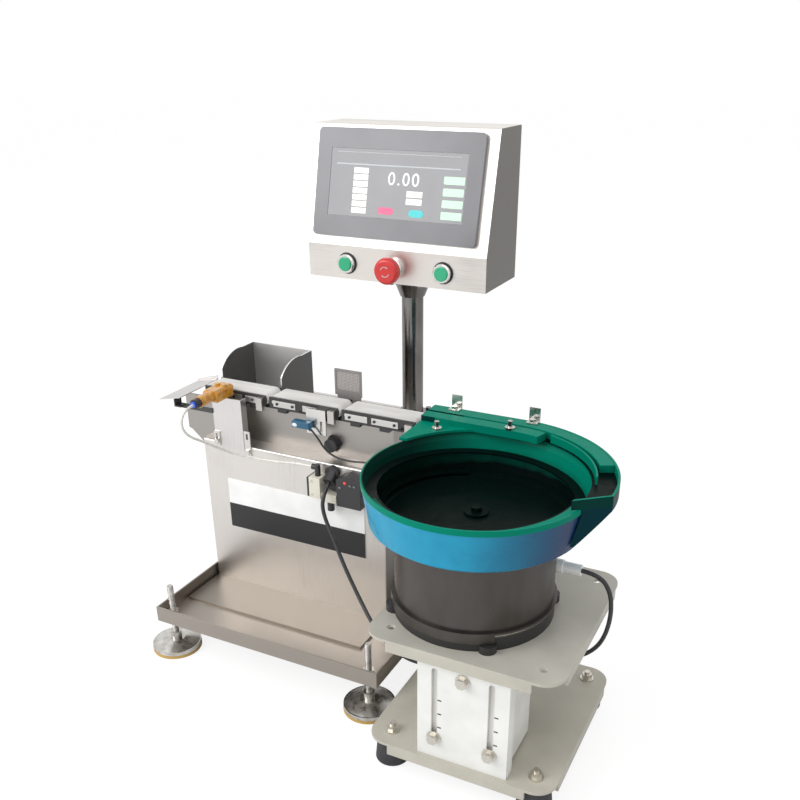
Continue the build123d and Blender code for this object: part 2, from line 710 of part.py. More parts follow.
# Places of the bowl and its stand, from the last belt and the slot that guides the pieces to it
slot_mid = (belt_in0 + belt_in1) / 2
bowl_r1 = bowl_r0 + bowl_flare
track_r = bowl_r1 + track_width
feed_x = belt_x[-1] - bowl_lap + bowl_r1
feed_y = slot_mid + lane_outer - track_r
stand_x = feed_x + stand_right
stand_y = feed_y + stand_rear
housing_r = base_r - housing_in
neck_drive_r = housing_r - neck_drive_in


def stand_plate(top, corner_hole_r):
    outline = RectangleRounded(2 * (hole_dx + lobe_r), 2 * (hole_dy + lobe_r), lobe_r - 0.01)
    plate = Pos(stand_x, stand_y, top - stand_sheet) * extrude(outline, stand_sheet)
    fx = hole_dx - 6
    fy = hole_dy - 6
    x_edge = hole_dx + lobe_r
    y_edge = hole_dy + lobe_r
    z0 = top - flange_h
    z1 = top - 1
    for side in (-1, 1):
        ya = min(side * y_edge, side * (y_edge - stand_sheet))
        xa = min(side * x_edge, side * (x_edge - stand_sheet))
        plate = plate + Pos(stand_x, stand_y, 0) * block(-fx, fx, ya, ya + stand_sheet, z0, z1)
        plate = plate + Pos(stand_x, stand_y, 0) * block(xa, xa + stand_sheet, -fy, fy, z0, z1)
    for dx in (-hole_dx, hole_dx):
        for dy in (-hole_dy, hole_dy):
            plate = plate - rod_z(stand_x + dx, stand_y + dy, z0, top + cut_over, corner_hole_r)
    return plate


# Lower plate of the stand, its rubber feet and bolts
parts["lower_plate"] = stand_plate(low_z, bolt_hole_r)
pads = []
bolts = []
under_plate = low_z - stand_sheet
for dx in (-hole_dx, hole_dx):
    for dy in (-hole_dy, hole_dy):
        x = stand_x + dx
        y = stand_y + dy
        pad = cone_z(x, y, 0, under_plate, rubber_r, rubber_top) - rod_z(x, y, 12, low_z, bolt_r + 0.2)
        pads.append(fillet(pad.edges().filter_by(GeomType.CIRCLE).group_by(Axis.Z)[0], 3))
        nut_z0 = low_z + washer_t
        bolt = rod_z(x, y, 14, nut_z0 + bolt_head + thread_over, bolt_r)
        bolt = bolt + rod_z(x, y, low_z, nut_z0, washer_r)
        bolts.append(bolt + hexagon_z(x, y, nut_z0, nut_z0 + bolt_head, bolt_flats))
parts["rubber_feet"] = together(pads)

# Slotted column channel on the lower plate, behind the front flange of the upper plate
up_z = belt_top - bowl_depth - neck_drive_h - housing_h - seat_h - base_h - 2
col_mid = stand_x + column_shift
col_x0 = col_mid - column_w / 2
col_x1 = col_mid + column_w / 2
column_y0 = stand_y - hole_dy - lobe_r + stand_sheet + flange_space
col_in = column_y0 + stand_sheet
col_top = up_z - stand_sheet - 1.0
channel = block(col_x0, col_x1, column_y0, col_in, low_z, col_top)
for x in (col_x0, col_x1 - stand_sheet):
    channel = channel + block(x, x + stand_sheet, column_y0, column_y0 + column_side, low_z, col_top)
slot_z0 = low_z + slot_rise
slot_z1 = slot_z0 + slot_length
for dx in (-slot_dx, slot_dx):
    x = col_mid + dx
    middle = Plane((x, column_y0 - cut_over, (slot_z0 + slot_z1) / 2), x_dir=(0, 0, 1), z_dir=(0, 1, 0))
    channel = channel - extrude(middle * SlotCenterToCenter(slot_length, 2 * slot_r), stand_sheet + 2 * cut_over)
lock_z = low_z + lock_rise
channel = channel - rod_y(col_mid, lock_z, column_y0 - cut_over, col_in + cut_over, lock_r)
parts["column_channel"] = channel
head_y0 = column_y0 - washer_t - bolt_head
lock = rod_y(col_mid, lock_z, head_y0, col_in + post_gap - 0.3, bolt_r)
lock = lock + rod_y(col_mid, lock_z, column_y0 - washer_t, column_y0, washer_r)
bolts.append(lock + hexagon_y(col_mid, lock_z, head_y0, column_y0 - washer_t, bolt_flats))
parts["stand_bolts"] = together(bolts)

# Inner post under the upper plate, and the two bolts that ride in the slots
post_x0 = col_x0 + stand_sheet + post_gap
post_x1 = col_x1 - stand_sheet - post_gap
post_y0 = col_in + post_gap
post_y1 = post_y0 + post_depth
post_z0 = low_z + stand_sheet
post_z1 = up_z - stand_sheet
post = block(post_x0, post_x1, post_y0, post_y1, post_z0, post_z1)
post = post - block(
    post_x0 + stand_sheet, post_x1 - stand_sheet, post_y0 + stand_sheet, post_y1 - stand_sheet,
    post_z0 - cut_over, post_z1 + cut_over)
riders = []
rider_gap = 0.2
for dx in (-slot_dx, slot_dx):
    x = col_mid + dx
    post = post - rod_y(x, slot_z0, post_y0 - cut_over, post_y0 + stand_sheet + cut_over, bolt_r)
    rider = rod_y(x, slot_z0, head_y0, post_y0 + 10, bolt_r)
    rider = rider + rod_y(x, slot_z0, column_y0 - washer_t - rider_gap, column_y0 - rider_gap, washer_r)
    riders.append(rider + hexagon_y(x, slot_z0, head_y0, column_y0 - washer_t - rider_gap, bolt_flats))
parts["column_post"] = post
parts["column_bolts"] = together(riders)

# Upper plate with four empty holes
parts["upper_plate"] = stand_plate(up_z, hole_r)

# Base ring of the drive with its lugs and the light seat on it, and the housing with a cut-away skirt
seat_z = up_z + base_h
housing_z0 = seat_z + seat_h
housing_z1 = housing_z0 + housing_h
neck_top = housing_z1 + neck_drive_h
ring = rod_z(feed_x, feed_y, up_z, seat_z, base_r)
for k in range(4):
    a = radians(32 + 90 * k)
    lx = feed_x + (base_r - 2) * cos(a)
    ly = feed_y + (base_r - 2) * sin(a)
    ring = ring + rod_z(lx, ly, up_z, up_z + lug_h, lug_r)
parts["base_ring"] = ring + rod_z(feed_x, feed_y, seat_z, housing_z0, base_r - housing_in)
housing = rod_z(feed_x, feed_y, housing_z0, housing_z1, housing_r)
skirt_r = base_r + fit_gap
skirt = rod_z(feed_x, feed_y, housing_z0 - skirt_h, housing_z0 + 3, skirt_r + skirt_t)
skirt = skirt - rod_z(feed_x, feed_y, housing_z0 - skirt_h - cut_over, housing_z0, skirt_r)
away = Polyline((0, 0), (120, -165), (300, -60), (300, 90), close=True)
cutter = Pos(feed_x, feed_y, housing_z0 - 2 * skirt_h) * extrude(make_face(away), 2 * skirt_h)
skirt = (skirt - cutter).solids().sort_by(SortBy.VOLUME)[-1]
housing = housing + skirt
parts["drive_housing"] = housing + rod_z(feed_x, feed_y, housing_z1, neck_top, neck_drive_r)

# White gland on the drive's right side
gland_y = 80.0
gland_z = 284.0
gland_end = 662.0
gx = feed_x + (housing_r ** 2 - (gland_y - feed_y) ** 2) ** 0.5
gland = rod_x(gland_y, gland_z, gx - 3, gx + 10, 9)
gland = gland + rod_x(gland_y, gland_z, gx + 9, gland_end, 7.5)
gland = gland - rod_z(feed_x, feed_y, housing_z0, housing_z1, housing_r)
parts["drive_gland"] = gland - rod_x(gland_y, gland_z, gland_end - 12, gland_end + 1, 3.1)

# Bowl: blue shell outside, green lining inside with a ledge that winds up its wall
bowl_bottom = neck_top + 2
bowl_rim = bowl_bottom + bowl_depth
shell_foot = bowl_bottom - 2
floor_z = bowl_bottom + 1
band_z = bowl_rim - lip_h
shell_top_r = bowl_r1 - seat_gap
shell_points = [
    (60, shell_foot), (bowl_r0 - 8, shell_foot), (bowl_r0, bowl_bottom + 4), (shell_top_r, band_z),
    (shell_top_r - bowl_t, band_z), (bowl_r0 - bowl_t, bowl_bottom + 5), (bowl_r0 - 10, floor_z), (60, floor_z)]
parts["bowl_shell"] = turned(shell_points, feed_x, feed_y)
wall_low_r = bowl_r0 - bowl_t - lining_t
wall_top_r = shell_top_r - bowl_t - lining_t
ledge_z0 = bowl_bottom + 9
lining_points = [
    (0, floor_z), (bowl_r0 - 10, floor_z), (bowl_r0 - bowl_t, bowl_bottom + 5), (shell_top_r - bowl_t, band_z),
    (bowl_r1, band_z), (bowl_r1, bowl_rim), (bowl_r1 - lip_t, bowl_rim), (wall_top_r, band_z - 2),
    (wall_low_r, ledge_z0), (bowl_r0 - 20, bowl_bottom + 4), (60, bowl_bottom + 8), (0, bowl_bottom + 9)]
lining = turned(lining_points, 0, 0)
ledge_z1 = bowl_rim - 5
taper = degrees(atan((wall_top_r - wall_low_r) / (band_z - 2 - ledge_z0)))
climb = Helix(
    pitch=ledge_pitch, height=ledge_z1 - ledge_z0, radius=wall_low_r + 1 - ledge_w / 2, cone_angle=taper)
climb = Pos(0, 0, ledge_z0) * climb
tread = Plane(climb @ 0, x_dir=(1, 0, 0), z_dir=climb % 0) * Rectangle(ledge_w, ledge_t)
ledge = sweep(tread, path=climb, is_frenet=True)
ledge_end = -20.0
ledge = Rot(0, 0, ledge_end - 360 * (ledge_z1 - ledge_z0) / ledge_pitch) * ledge
hub = rod_z(0, 0, bowl_bottom + 7, bowl_bottom + 12, 16) + hexagon_z(0, 0, bowl_bottom + 12, bowl_bottom + 18, 13)
parts["bowl_lining"] = Pos(feed_x, feed_y, 0) * (lining + ledge + hub)

# Exit track: it leaves the rim at the right on a flared skin, goes round the rear and ends over the first belt
track_floor = bowl_rim + track_step
track_top = track_floor + track_height
track_in = track_r - track_wall
skin_foot = bowl_bottom + 12
near_r = bowl_r1 + seat_gap
over_rim = bowl_rim + seat_gap
skin = [
    (bowl_r0 + 3, skin_foot), (near_r, band_z), (near_r, over_rim), (bowl_r1 - 7, over_rim),
    (bowl_r1 - 7, track_floor), (track_in, track_floor), (track_in, track_top), (track_r, track_top),
    (track_r, track_floor - 9), (bowl_r0 + 6, skin_foot)]
full = skin[:4] + [(bowl_r1 - 7, track_top)] + skin[7:]
turn_in = Vector(track_r * cos(radians(-3)), track_r * sin(radians(-3)))
reach = bowl_r1 - 12
first = Vector(reach * cos(radians(-21)), reach * sin(radians(-21)))
far = 2 * track_r
keep = Polyline((0, 0), (first.X, first.Y), (turn_in.X, turn_in.Y), (far, 0), (far, far), (0, far), close=True)
region = Pos(0, 0, skin_foot - cut_over) * extrude(make_face(keep), track_top - skin_foot + 2 * cut_over)
sweep_round = turned(skin, 0, 0) & region
away_out = turn_in - first
wall_turn = degrees(atan(away_out.Y / away_out.X))
closer = block(0, away_out.length + 20, 0, track_wall, skin_foot, track_top)
closer = Pos(first.X, first.Y, 0) * Rot(0, 0, wall_turn) * closer
sweep_round = sweep_round + (turned(full, 0, 0) & region & closer)
lane_x0 = belt_x[-1] + 6
lane_y1 = feed_y + track_r
lane_y0 = slot_mid - lane_slot / 2 - lane_inner
lane_z0 = track_floor - 13
lane = block(lane_x0, feed_x, near_r + feed_y, lane_y1, lane_z0, track_top)
lane = lane + block(lane_x0, feed_x, lane_y0, near_r + feed_y, track_floor - 1, track_top)
deck = block(lane_x0, feed_x - 40, lane_y0 - 70, lane_y0 + 1, track_floor - 1, track_floor + 3)
lane = lane + (deck - rod_z(feed_x, feed_y, track_floor - 10, track_top, bowl_r1 - 7))
lane = lane - rod_z(feed_x, feed_y, lane_z0 - 20, track_floor - 1, near_r)
slot_y0 = slot_mid - lane_slot / 2
slot = block(lane_x0 - cut_over, feed_x + cut_over, slot_y0, slot_y0 + lane_slot, track_floor, track_top + cut_over)
parts["exit_track"] = Pos(feed_x, feed_y, 0) * sweep_round + (lane - slot)

# Steel brackets behind the lane and adjusting screws in front of it
first_clip = lane_x0 + 35
clips = []
for x in (first_clip, feed_x + 13):
    x0 = x - clip_w / 2
    clip = block(x0, x0 + clip_w, lane_y1, lane_y1 + clip_t, track_top - clip_hang, track_top + clip_rise)
    foot = block(x0, x0 + clip_w, lane_y1 - clip_reach, lane_y1 + clip_t, track_top, track_top + clip_t)
    nut_z = track_top + clip_t
    clips.append(clip + foot + hexagon_z(x, lane_y1 - clip_nut, nut_z, nut_z + clip_nut / 2, clip_nut))
deck_knob_y = lane_y0 - knob_r * 3
opening_r = bowl_r1 - 7
edge_x = feed_x - (opening_r ** 2 - (deck_knob_y - feed_y) ** 2) ** 0.5
knob_places = (
    (edge_x - 2 * knob_r, deck_knob_y, track_floor + 3),
    (feed_x - knob_r - 1, lane_y0 + knob_r - 1, track_top))
for x, y, z in knob_places:
    clips.append(rod_z(x, y, z, z + 3, knob_r) + rod_z(x, y, z + 3, z + knob_h, knob_r / 2))
parts["track_brackets"] = together(clips)

os.makedirs("parts", exist_ok=True)
to_origin = Pos(-stud_x[0], -stud_y[0], 0)
for name, shape in parts.items():
    solids = [to_origin * s for s in shape.solids()]
    volume = sum(s.volume for s in solids)
    print(name, len(solids), "solids", round(volume / 1000, 1), "cm3")
    moved = Compound(children=solids) if len(solids) > 1 else solids[0]
    export_step(moved, "parts/" + name + ".step")
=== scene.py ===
import bpy
import bmesh
from math import atan2, cos, pi, radians, sin
from mathutils import Matrix, Vector


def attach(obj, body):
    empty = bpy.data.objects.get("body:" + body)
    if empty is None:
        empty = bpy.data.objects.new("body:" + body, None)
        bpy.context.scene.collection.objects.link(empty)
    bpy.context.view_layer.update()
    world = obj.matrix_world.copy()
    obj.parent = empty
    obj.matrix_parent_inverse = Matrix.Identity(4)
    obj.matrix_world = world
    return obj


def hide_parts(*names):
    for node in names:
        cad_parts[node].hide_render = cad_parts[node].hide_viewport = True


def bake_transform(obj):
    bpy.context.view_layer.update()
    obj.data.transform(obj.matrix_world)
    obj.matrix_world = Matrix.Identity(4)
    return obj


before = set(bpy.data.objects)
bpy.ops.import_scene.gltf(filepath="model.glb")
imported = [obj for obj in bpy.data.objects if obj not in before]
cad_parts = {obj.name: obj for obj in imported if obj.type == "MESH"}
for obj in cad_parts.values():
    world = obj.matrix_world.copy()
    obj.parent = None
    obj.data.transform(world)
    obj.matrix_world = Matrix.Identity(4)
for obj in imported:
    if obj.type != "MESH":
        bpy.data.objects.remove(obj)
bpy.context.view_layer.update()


# Room: a pale floor, a white surround and a camera at the photograph's angle
# Places are given in millimetres from the front left corner of the tray, as the drawing has them
# The front left foot, which is the origin, stands 12 mm in from that corner and 24 mm back
def at(x, y, z):
    return Vector(((x - 12) / 1000, (y - 24) / 1000, z / 1000))


camera_azimuth = 26.314
camera_tilt = 63.449
camera_roll = -0.2
camera_data = bpy.data.cameras.new("camera")
camera_data.sensor_width = 36.0
camera_data.lens = 41.066
camera_data.shift_x = -0.0125
camera_data.shift_y = 0.125
camera = bpy.data.objects.new("camera", camera_data)
turn = Matrix.Rotation(radians(camera_azimuth), 3, "Z") @ Matrix.Rotation(radians(camera_tilt), 3, "X")
turn = turn @ Matrix.Rotation(radians(camera_roll), 3, "Z")
camera.location = at(912.4, -925.2, 892.5)
camera.rotation_euler = turn.to_euler()
bpy.context.scene.collection.objects.link(camera)
bpy.context.scene.camera = camera
bpy.context.scene.view_settings.view_transform = "Standard"

world = bpy.data.worlds.new("surround")
bpy.context.scene.world = world
world.use_nodes = True
sky = world.node_tree.nodes
join = world.node_tree.links
soft_light = 0.66
sky["Background"].inputs["Color"].default_value = (1.0, 1.0, 1.0, 1.0)
sky["Background"].inputs["Strength"].default_value = soft_light
seen = sky.new("ShaderNodeBackground")
seen.inputs["Color"].default_value = (1.0, 1.0, 1.0, 1.0)
seen.inputs["Strength"].default_value = 1.0
ray = sky.new("ShaderNodeLightPath")
mirrored = sky.new("ShaderNodeMath")
mirrored.operation = "MAXIMUM"
through = sky.new("ShaderNodeMath")
through.operation = "MAXIMUM"
choice = sky.new("ShaderNodeMixShader")
join.new(ray.outputs["Is Camera Ray"], mirrored.inputs[0])
join.new(ray.outputs["Is Glossy Ray"], mirrored.inputs[1])
join.new(mirrored.outputs[0], through.inputs[0])
join.new(ray.outputs["Is Transmission Ray"], through.inputs[1])
join.new(through.outputs[0], choice.inputs["Fac"])
join.new(sky["Background"].outputs[0], choice.inputs[1])
join.new(seen.outputs[0], choice.inputs[2])
join.new(choice.outputs[0], sky["World Output"].inputs["Surface"])


def lamp(name, place, aim, size, power):
    data = bpy.data.lights.new(name, "AREA")
    data.shape = "DISK"
    data.size = size
    data.energy = power
    holder = bpy.data.objects.new(name, data)
    holder.location = place
    holder.rotation_euler = (aim - place).to_track_quat("-Z", "Y").to_euler()
    bpy.context.scene.collection.objects.link(holder)


middle = at(300, 200, 350)
lamp("window_light", at(-1100, -1500, 1700), middle, 1.8, 36.0)
lamp("room_light", at(900, -300, 2300), middle, 2.4, 10.0)


def finish(name, colour, roughness, metal=0.0):
    made = bpy.data.materials.new(name)
    made.use_nodes = True
    surface = made.node_tree.nodes["Principled BSDF"]
    surface.inputs["Base Color"].default_value = (*colour, 1.0)
    surface.inputs["Roughness"].default_value = roughness
    surface.inputs["Metallic"].default_value = metal
    return made, made.node_tree, surface


def place_of(tree, stretch=(1.0, 1.0, 1.0)):
    start = tree.nodes.new("ShaderNodeTexCoord")
    scale = tree.nodes.new("ShaderNodeMapping")
    scale.inputs["Scale"].default_value = stretch
    tree.links.new(start.outputs["Object"], scale.inputs["Vector"])
    return scale.outputs["Vector"]


def grain(tree, size, stretch=(1.0, 1.0, 1.0), detail=4.0):
    noise = tree.nodes.new("ShaderNodeTexNoise")
    noise.inputs["Scale"].default_value = 1.0 / size
    noise.inputs["Detail"].default_value = detail
    tree.links.new(place_of(tree, stretch), noise.inputs["Vector"])
    return noise.outputs["Fac"]


def shade(tree, surface, pattern, low_colour, high_colour, low=0.3, high=0.7):
    ramp = tree.nodes.new("ShaderNodeValToRGB")
    ramp.color_ramp.elements[0].position = low
    ramp.color_ramp.elements[0].color = (*low_colour, 1.0)
    ramp.color_ramp.elements[1].position = high
    ramp.color_ramp.elements[1].color = (*high_colour, 1.0)
    tree.links.new(pattern, ramp.inputs["Fac"])
    tree.links.new(ramp.outputs["Color"], surface.inputs["Base Color"])
    return ramp


def gloss(tree, surface, pattern, low, high):
    spread = tree.nodes.new("ShaderNodeMapRange")
    spread.inputs["From Min"].default_value = 0.3
    spread.inputs["From Max"].default_value = 0.7
    spread.inputs["To Min"].default_value = low
    spread.inputs["To Max"].default_value = high
    tree.links.new(pattern, spread.inputs["Value"])
    tree.links.new(spread.outputs["Result"], surface.inputs["Roughness"])


def relief(tree, surface, pattern, height, strength=0.5):
    raised = tree.nodes.new("ShaderNodeBump")
    raised.inputs["Distance"].default_value = height
    raised.inputs["Strength"].default_value = strength
    tree.links.new(pattern, raised.inputs["Height"])
    tree.links.new(raised.outputs["Normal"], surface.inputs["Normal"])


floor_mesh = bmesh.new()
bmesh.ops.create_grid(floor_mesh, x_segments=1, y_segments=1, size=60.0)
floor_data = bpy.data.meshes.new("floor")
floor_mesh.to_mesh(floor_data)
floor_mesh.free()
floor = bpy.data.objects.new("floor", floor_data)
floor.location = at(200, 200, -0.2)
bpy.context.scene.collection.objects.link(floor)
floor_paint, floor_tree, floor_surface = finish("pale_floor", (0.9, 0.9, 0.9), 0.9)
floor_glow = floor_tree.nodes.new("ShaderNodeEmission")
floor_glow.inputs["Color"].default_value = (1.0, 1.0, 1.0, 1.0)
floor_glow.inputs["Strength"].default_value = 1.12
floor_ray = floor_tree.nodes.new("ShaderNodeLightPath")
floor_share = floor_tree.nodes.new("ShaderNodeMath")
floor_share.operation = "MULTIPLY"
floor_share.inputs[1].default_value = 0.75
floor_choice = floor_tree.nodes.new("ShaderNodeMixShader")
floor_tree.links.new(floor_ray.outputs["Is Camera Ray"], floor_share.inputs[0])
floor_tree.links.new(floor_share.outputs[0], floor_choice.inputs["Fac"])
floor_tree.links.new(floor_surface.outputs[0], floor_choice.inputs[1])
floor_tree.links.new(floor_glow.outputs[0], floor_choice.inputs[2])
floor_tree.links.new(floor_choice.outputs[0], floor_tree.nodes["Material Output"].inputs["Surface"])
floor_data.materials.append(floor_paint)


# Cords: three round cables and hoses, laid out first because they reach furthest
# Each is a smooth line through the route's points, with the cable's own thickness round it
# The two signal leads and the air tube hang between pieces that are both fixed to the cabinet
def route(name, points, diameter):
    line = bpy.data.curves.new(name, "CURVE")
    line.dimensions = "3D"
    line.resolution_u = 12
    line.bevel_depth = diameter / 2
    line.bevel_resolution = 5
    line.use_fill_caps = True
    run = line.splines.new("NURBS")
    run.points.add(len(points) - 1)
    for knot, point in zip(run.points, points):
        knot.co = (*at(*point), 1.0)
    run.order_u = 3
    run.use_endpoint_u = True
    made = bpy.data.objects.new(name, line)
    bpy.context.scene.collection.objects.link(made)
    return made


def sheath(name, colour, roughness, ripple):
    made, tree, surface = finish(name, colour, roughness)
    pattern = grain(tree, 0.004, detail=3.0)
    dull = tuple(0.8 * c + 0.02 for c in colour)
    shade(tree, surface, pattern, dull, colour)
    gloss(tree, surface, pattern, roughness - 0.08, roughness + 0.1)
    relief(tree, surface, grain(tree, 0.0012), ripple)
    return made


black_sheath = sheath("black_cable_jacket", (0.022, 0.022, 0.024), 0.42, 0.00006)
eye_lead_points = [
    (208.5, 158.5, 372.5), (221, 158.5, 360), (230, 161, 342), (246, 164.5, 330),
    (271, 166, 327), (298, 166, 331), (318, 166, 331)]
eye_lead = route("photo_eye_lead", eye_lead_points, 0.003)
eye_lead.data.materials.append(black_sheath)
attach(eye_lead, "frame")
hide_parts("sensor_cable")

white_tube = sheath("white_air_tube", (0.80, 0.78, 0.73), 0.3, 0.00004)
white_tube.node_tree.nodes["Principled BSDF"].inputs["Coat Weight"].default_value = 0.4
air_tube_points = [
    (50, 92, 409), (50, 68, 409), (49, 54, 393), (52, 58, 371), (66, 84, 352),
    (84, 114, 328), (112, 134, 316), (158, 140, 315), (194, 141.5, 319), (222, 141, 319.5)]
air_line = route("air_line", air_tube_points, 0.004)
air_line.data.materials.append(white_tube)
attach(air_line, "frame")
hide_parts("air_tube")


# Drive cable: one black lead from the cabinet's front gland, behind the stand, to the feeder drive
# It is one tube, drawn as a single smooth line
# Its lower part runs along the cabinet and its last loop ends at the drive
drive_cable_points = [
    (250, 137.8, 299.6), (250, 115.8, 283.1), (253, 113, 258), (270, 106, 232), (299, 92, 189),
    (332, 76, 152), (364, 56, 128), (399, 42, 106), (438, 48, 86), (475, 72, 78),
    (515, 98, 82), (560, 110, 92), (600, 112, 104), (636, 113.8, 114.8), (668, 104, 136),
    (690, 92, 165), (702, 83, 198), (706, 80, 232), (702, 80, 263), (685, 80, 284), (660, 80, 284)]
drive_line = route("drive_line", drive_cable_points, 0.006)
graph = bpy.context.evaluated_depsgraph_get()
tube_data = bpy.data.meshes.new_from_object(drive_line.evaluated_get(graph), depsgraph=graph)
drive_line.data.bevel_depth = 0.0
drive_line.data.use_fill_caps = False
bpy.context.view_layer.update()
graph = bpy.context.evaluated_depsgraph_get()
bare_data = bpy.data.meshes.new_from_object(drive_line.evaluated_get(graph), depsgraph=graph)
bpy.data.objects.remove(drive_line)
bpy.data.meshes.remove(bare_data)
for face in tube_data.polygons:
    face.use_smooth = True
drive_cable = bpy.data.objects.new("drive_cable", tube_data)
bpy.context.scene.collection.objects.link(drive_cable)
tube_data.materials.clear()
tube_data.materials.append(black_sheath)
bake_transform(drive_cable)
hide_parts("drive_cable_lower", "drive_cable_upper")


# Tray and the doubler plate under the cabinet: 2.5 mm stainless sheet folded up at the edges
# Brushed along its length, dulled by water marks and by the feet of what has stood in it
def dress(node, material):
    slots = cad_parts[node].data.materials
    slots.clear()
    slots.append(material)


def brushed(name, colour, roughness, along, spread=0.08, marks=0.25, right_side_shade=1.0):
    made, tree, surface = finish(name, colour, roughness, metal=1.0)
    stretch = tuple(0.02 if axis == along else 1.0 for axis in "XYZ")
    lines = grain(tree, 0.0007, stretch, detail=4.0)
    cloud = grain(tree, 0.12, detail=3.0)
    worn = tree.nodes.new("ShaderNodeMath")
    worn.operation = "MULTIPLY_ADD"
    worn.inputs[1].default_value = marks * 4
    tree.links.new(cloud, worn.inputs[0])
    tree.links.new(lines, worn.inputs[2])
    dark = tuple(c * 0.90 for c in colour)
    light = tuple(min(1.0, c * 1.06) for c in colour)
    ramp = shade(tree, surface, worn.outputs[0], dark, light, 0.4 + marks, 0.8 + 3 * marks)
    # Faces turned to the right are mixed towards a darker copy of the colour: painted shade on the right-hand sides
    if right_side_shade < 1.0:
        facing = tree.nodes.new("ShaderNodeTexCoord")
        sides = tree.nodes.new("ShaderNodeSeparateXYZ")
        tree.links.new(facing.outputs["Normal"], sides.inputs[0])
        right_shade_mask = tree.nodes.new("ShaderNodeMapRange")
        right_shade_mask.inputs["From Min"].default_value = 0.35
        right_shade_mask.inputs["From Max"].default_value = 0.9
        tree.links.new(sides.outputs["X"], right_shade_mask.inputs["Value"])
        right_shade_mix = tree.nodes.new("ShaderNodeMix")
        right_shade_mix.data_type = "RGBA"
        right_shade_mix.inputs["B"].default_value = (*(c * right_side_shade for c in colour), 1.0)
        tree.links.new(right_shade_mask.outputs["Result"], right_shade_mix.inputs["Factor"])
        tree.links.new(ramp.outputs["Color"], right_shade_mix.inputs["A"])
        tree.links.new(right_shade_mix.outputs["Result"], surface.inputs["Base Color"])
    gloss(tree, surface, lines, roughness - spread / 2, roughness + spread / 2)
    relief(tree, surface, lines, 0.00001, 0.12)
    surface.inputs["Anisotropic"].default_value = 0.3
    return made


tray_steel = brushed("tray_steel", (0.36, 0.325, 0.29), 0.42, "X", marks=0.5)
dress("base_tray", tray_steel)
plate_steel = brushed("doubler_steel", (0.32, 0.29, 0.255), 0.38, "X", marks=0.6)
dress("base_plate", plate_steel)


# Levelling feet: plated discs on threaded studs, each with a nut above and below the tray
# The thread is a fine ridge round the stud alone, found by its distance from the four stud centres
# The discs are cast and plated, and they share one cloudy plating with the studs
foot_metal, foot_tree, foot_surface = finish("plated_steel", (0.60, 0.585, 0.56), 0.28, metal=1.0)
stud_half = Vector((0.181, 0.207, 0.0))
spot = foot_tree.nodes.new("ShaderNodeTexCoord")
shifted = foot_tree.nodes.new("ShaderNodeVectorMath")
shifted.operation = "SUBTRACT"
shifted.inputs[1].default_value = stud_half
folded = foot_tree.nodes.new("ShaderNodeVectorMath")
folded.operation = "ABSOLUTE"
centred = foot_tree.nodes.new("ShaderNodeVectorMath")
centred.operation = "SUBTRACT"
centred.inputs[1].default_value = stud_half
flat = foot_tree.nodes.new("ShaderNodeVectorMath")
flat.operation = "MULTIPLY"
flat.inputs[1].default_value = (1.0, 1.0, 0.0)
away = foot_tree.nodes.new("ShaderNodeVectorMath")
away.operation = "LENGTH"
on_stud = foot_tree.nodes.new("ShaderNodeMath")
on_stud.operation = "LESS_THAN"
on_stud.inputs[1].default_value = 0.0056
ridges = foot_tree.nodes.new("ShaderNodeTexWave")
ridges.bands_direction = "Z"
ridges.inputs["Scale"].default_value = 200.0
threaded = foot_tree.nodes.new("ShaderNodeMath")
threaded.operation = "MULTIPLY"
foot_tree.links.new(spot.outputs["Object"], shifted.inputs[0])
foot_tree.links.new(shifted.outputs[0], folded.inputs[0])
foot_tree.links.new(folded.outputs[0], centred.inputs[0])
foot_tree.links.new(centred.outputs[0], flat.inputs[0])
foot_tree.links.new(flat.outputs[0], away.inputs[0])
foot_tree.links.new(away.outputs["Value"], on_stud.inputs[0])
foot_tree.links.new(spot.outputs["Object"], ridges.inputs["Vector"])
foot_tree.links.new(ridges.outputs["Fac"], threaded.inputs[0])
foot_tree.links.new(on_stud.outputs[0], threaded.inputs[1])
relief(foot_tree, foot_surface, threaded.outputs[0], 0.0007, 0.9)
foot_cloud = grain(foot_tree, 0.012, detail=5.0)
shade(foot_tree, foot_surface, foot_cloud, (0.42, 0.40, 0.375), (0.70, 0.69, 0.66))
gloss(foot_tree, foot_surface, foot_cloud, 0.2, 0.4)
dress("levelling_feet", foot_metal)


def rubbery(name, colour, roughness, pore=0.0006):
    made, tree, surface = finish(name, colour, roughness)
    cloud = grain(tree, 0.015, detail=5.0)
    dusty = tuple(0.85 * c + 0.035 for c in colour)
    shade(tree, surface, cloud, colour, dusty, 0.4, 0.75)
    gloss(tree, surface, cloud, roughness - 0.1, roughness + 0.1)
    relief(tree, surface, grain(tree, pore), 0.00008, 0.4)
    return made


dress("foot_pads", rubbery("ochre_pad", (0.56, 0.36, 0.10), 0.7))


# Cabinet, riser and wall: brushed stainless sheet with bent corners
# The brushing runs up and down on the cabinet and along the line on the riser and the wall
# The riser carries the three belts and the wall closes it to the front
# The cabinet's steel carries painted shade on its right-hand faces
cabinet_steel = brushed("cabinet_steel", (0.66, 0.63, 0.60), 0.40, "Z", marks=0.3, right_side_shade=0.4)
dress("cabinet_body", cabinet_steel)
wall_steel = brushed("wall_steel", (0.35, 0.33, 0.31), 0.40, "X", marks=0.3)
dress("rear_body", wall_steel)
dress("wall_plate", wall_steel)


# Sign on the cabinet's front: a white panel with a black band below, both thin plastic film
# The film is bare: its surface has only the slight waviness of a stuck-on film
# The black band lies on the white panel
def smooth_plastic(name, colour, roughness, wave=0.00003, coat=0.0):
    made, tree, surface = finish(name, colour, roughness)
    cloud = grain(tree, 0.03, detail=3.0)
    low = tuple(0.9 * c for c in colour)
    shade(tree, surface, cloud, low, colour)
    gloss(tree, surface, cloud, roughness - 0.06, roughness + 0.08)
    relief(tree, surface, grain(tree, 0.0009, detail=3.0), wave, 0.35)
    surface.inputs["Coat Weight"].default_value = coat
    surface.inputs["Coat Roughness"].default_value = 0.12
    return made


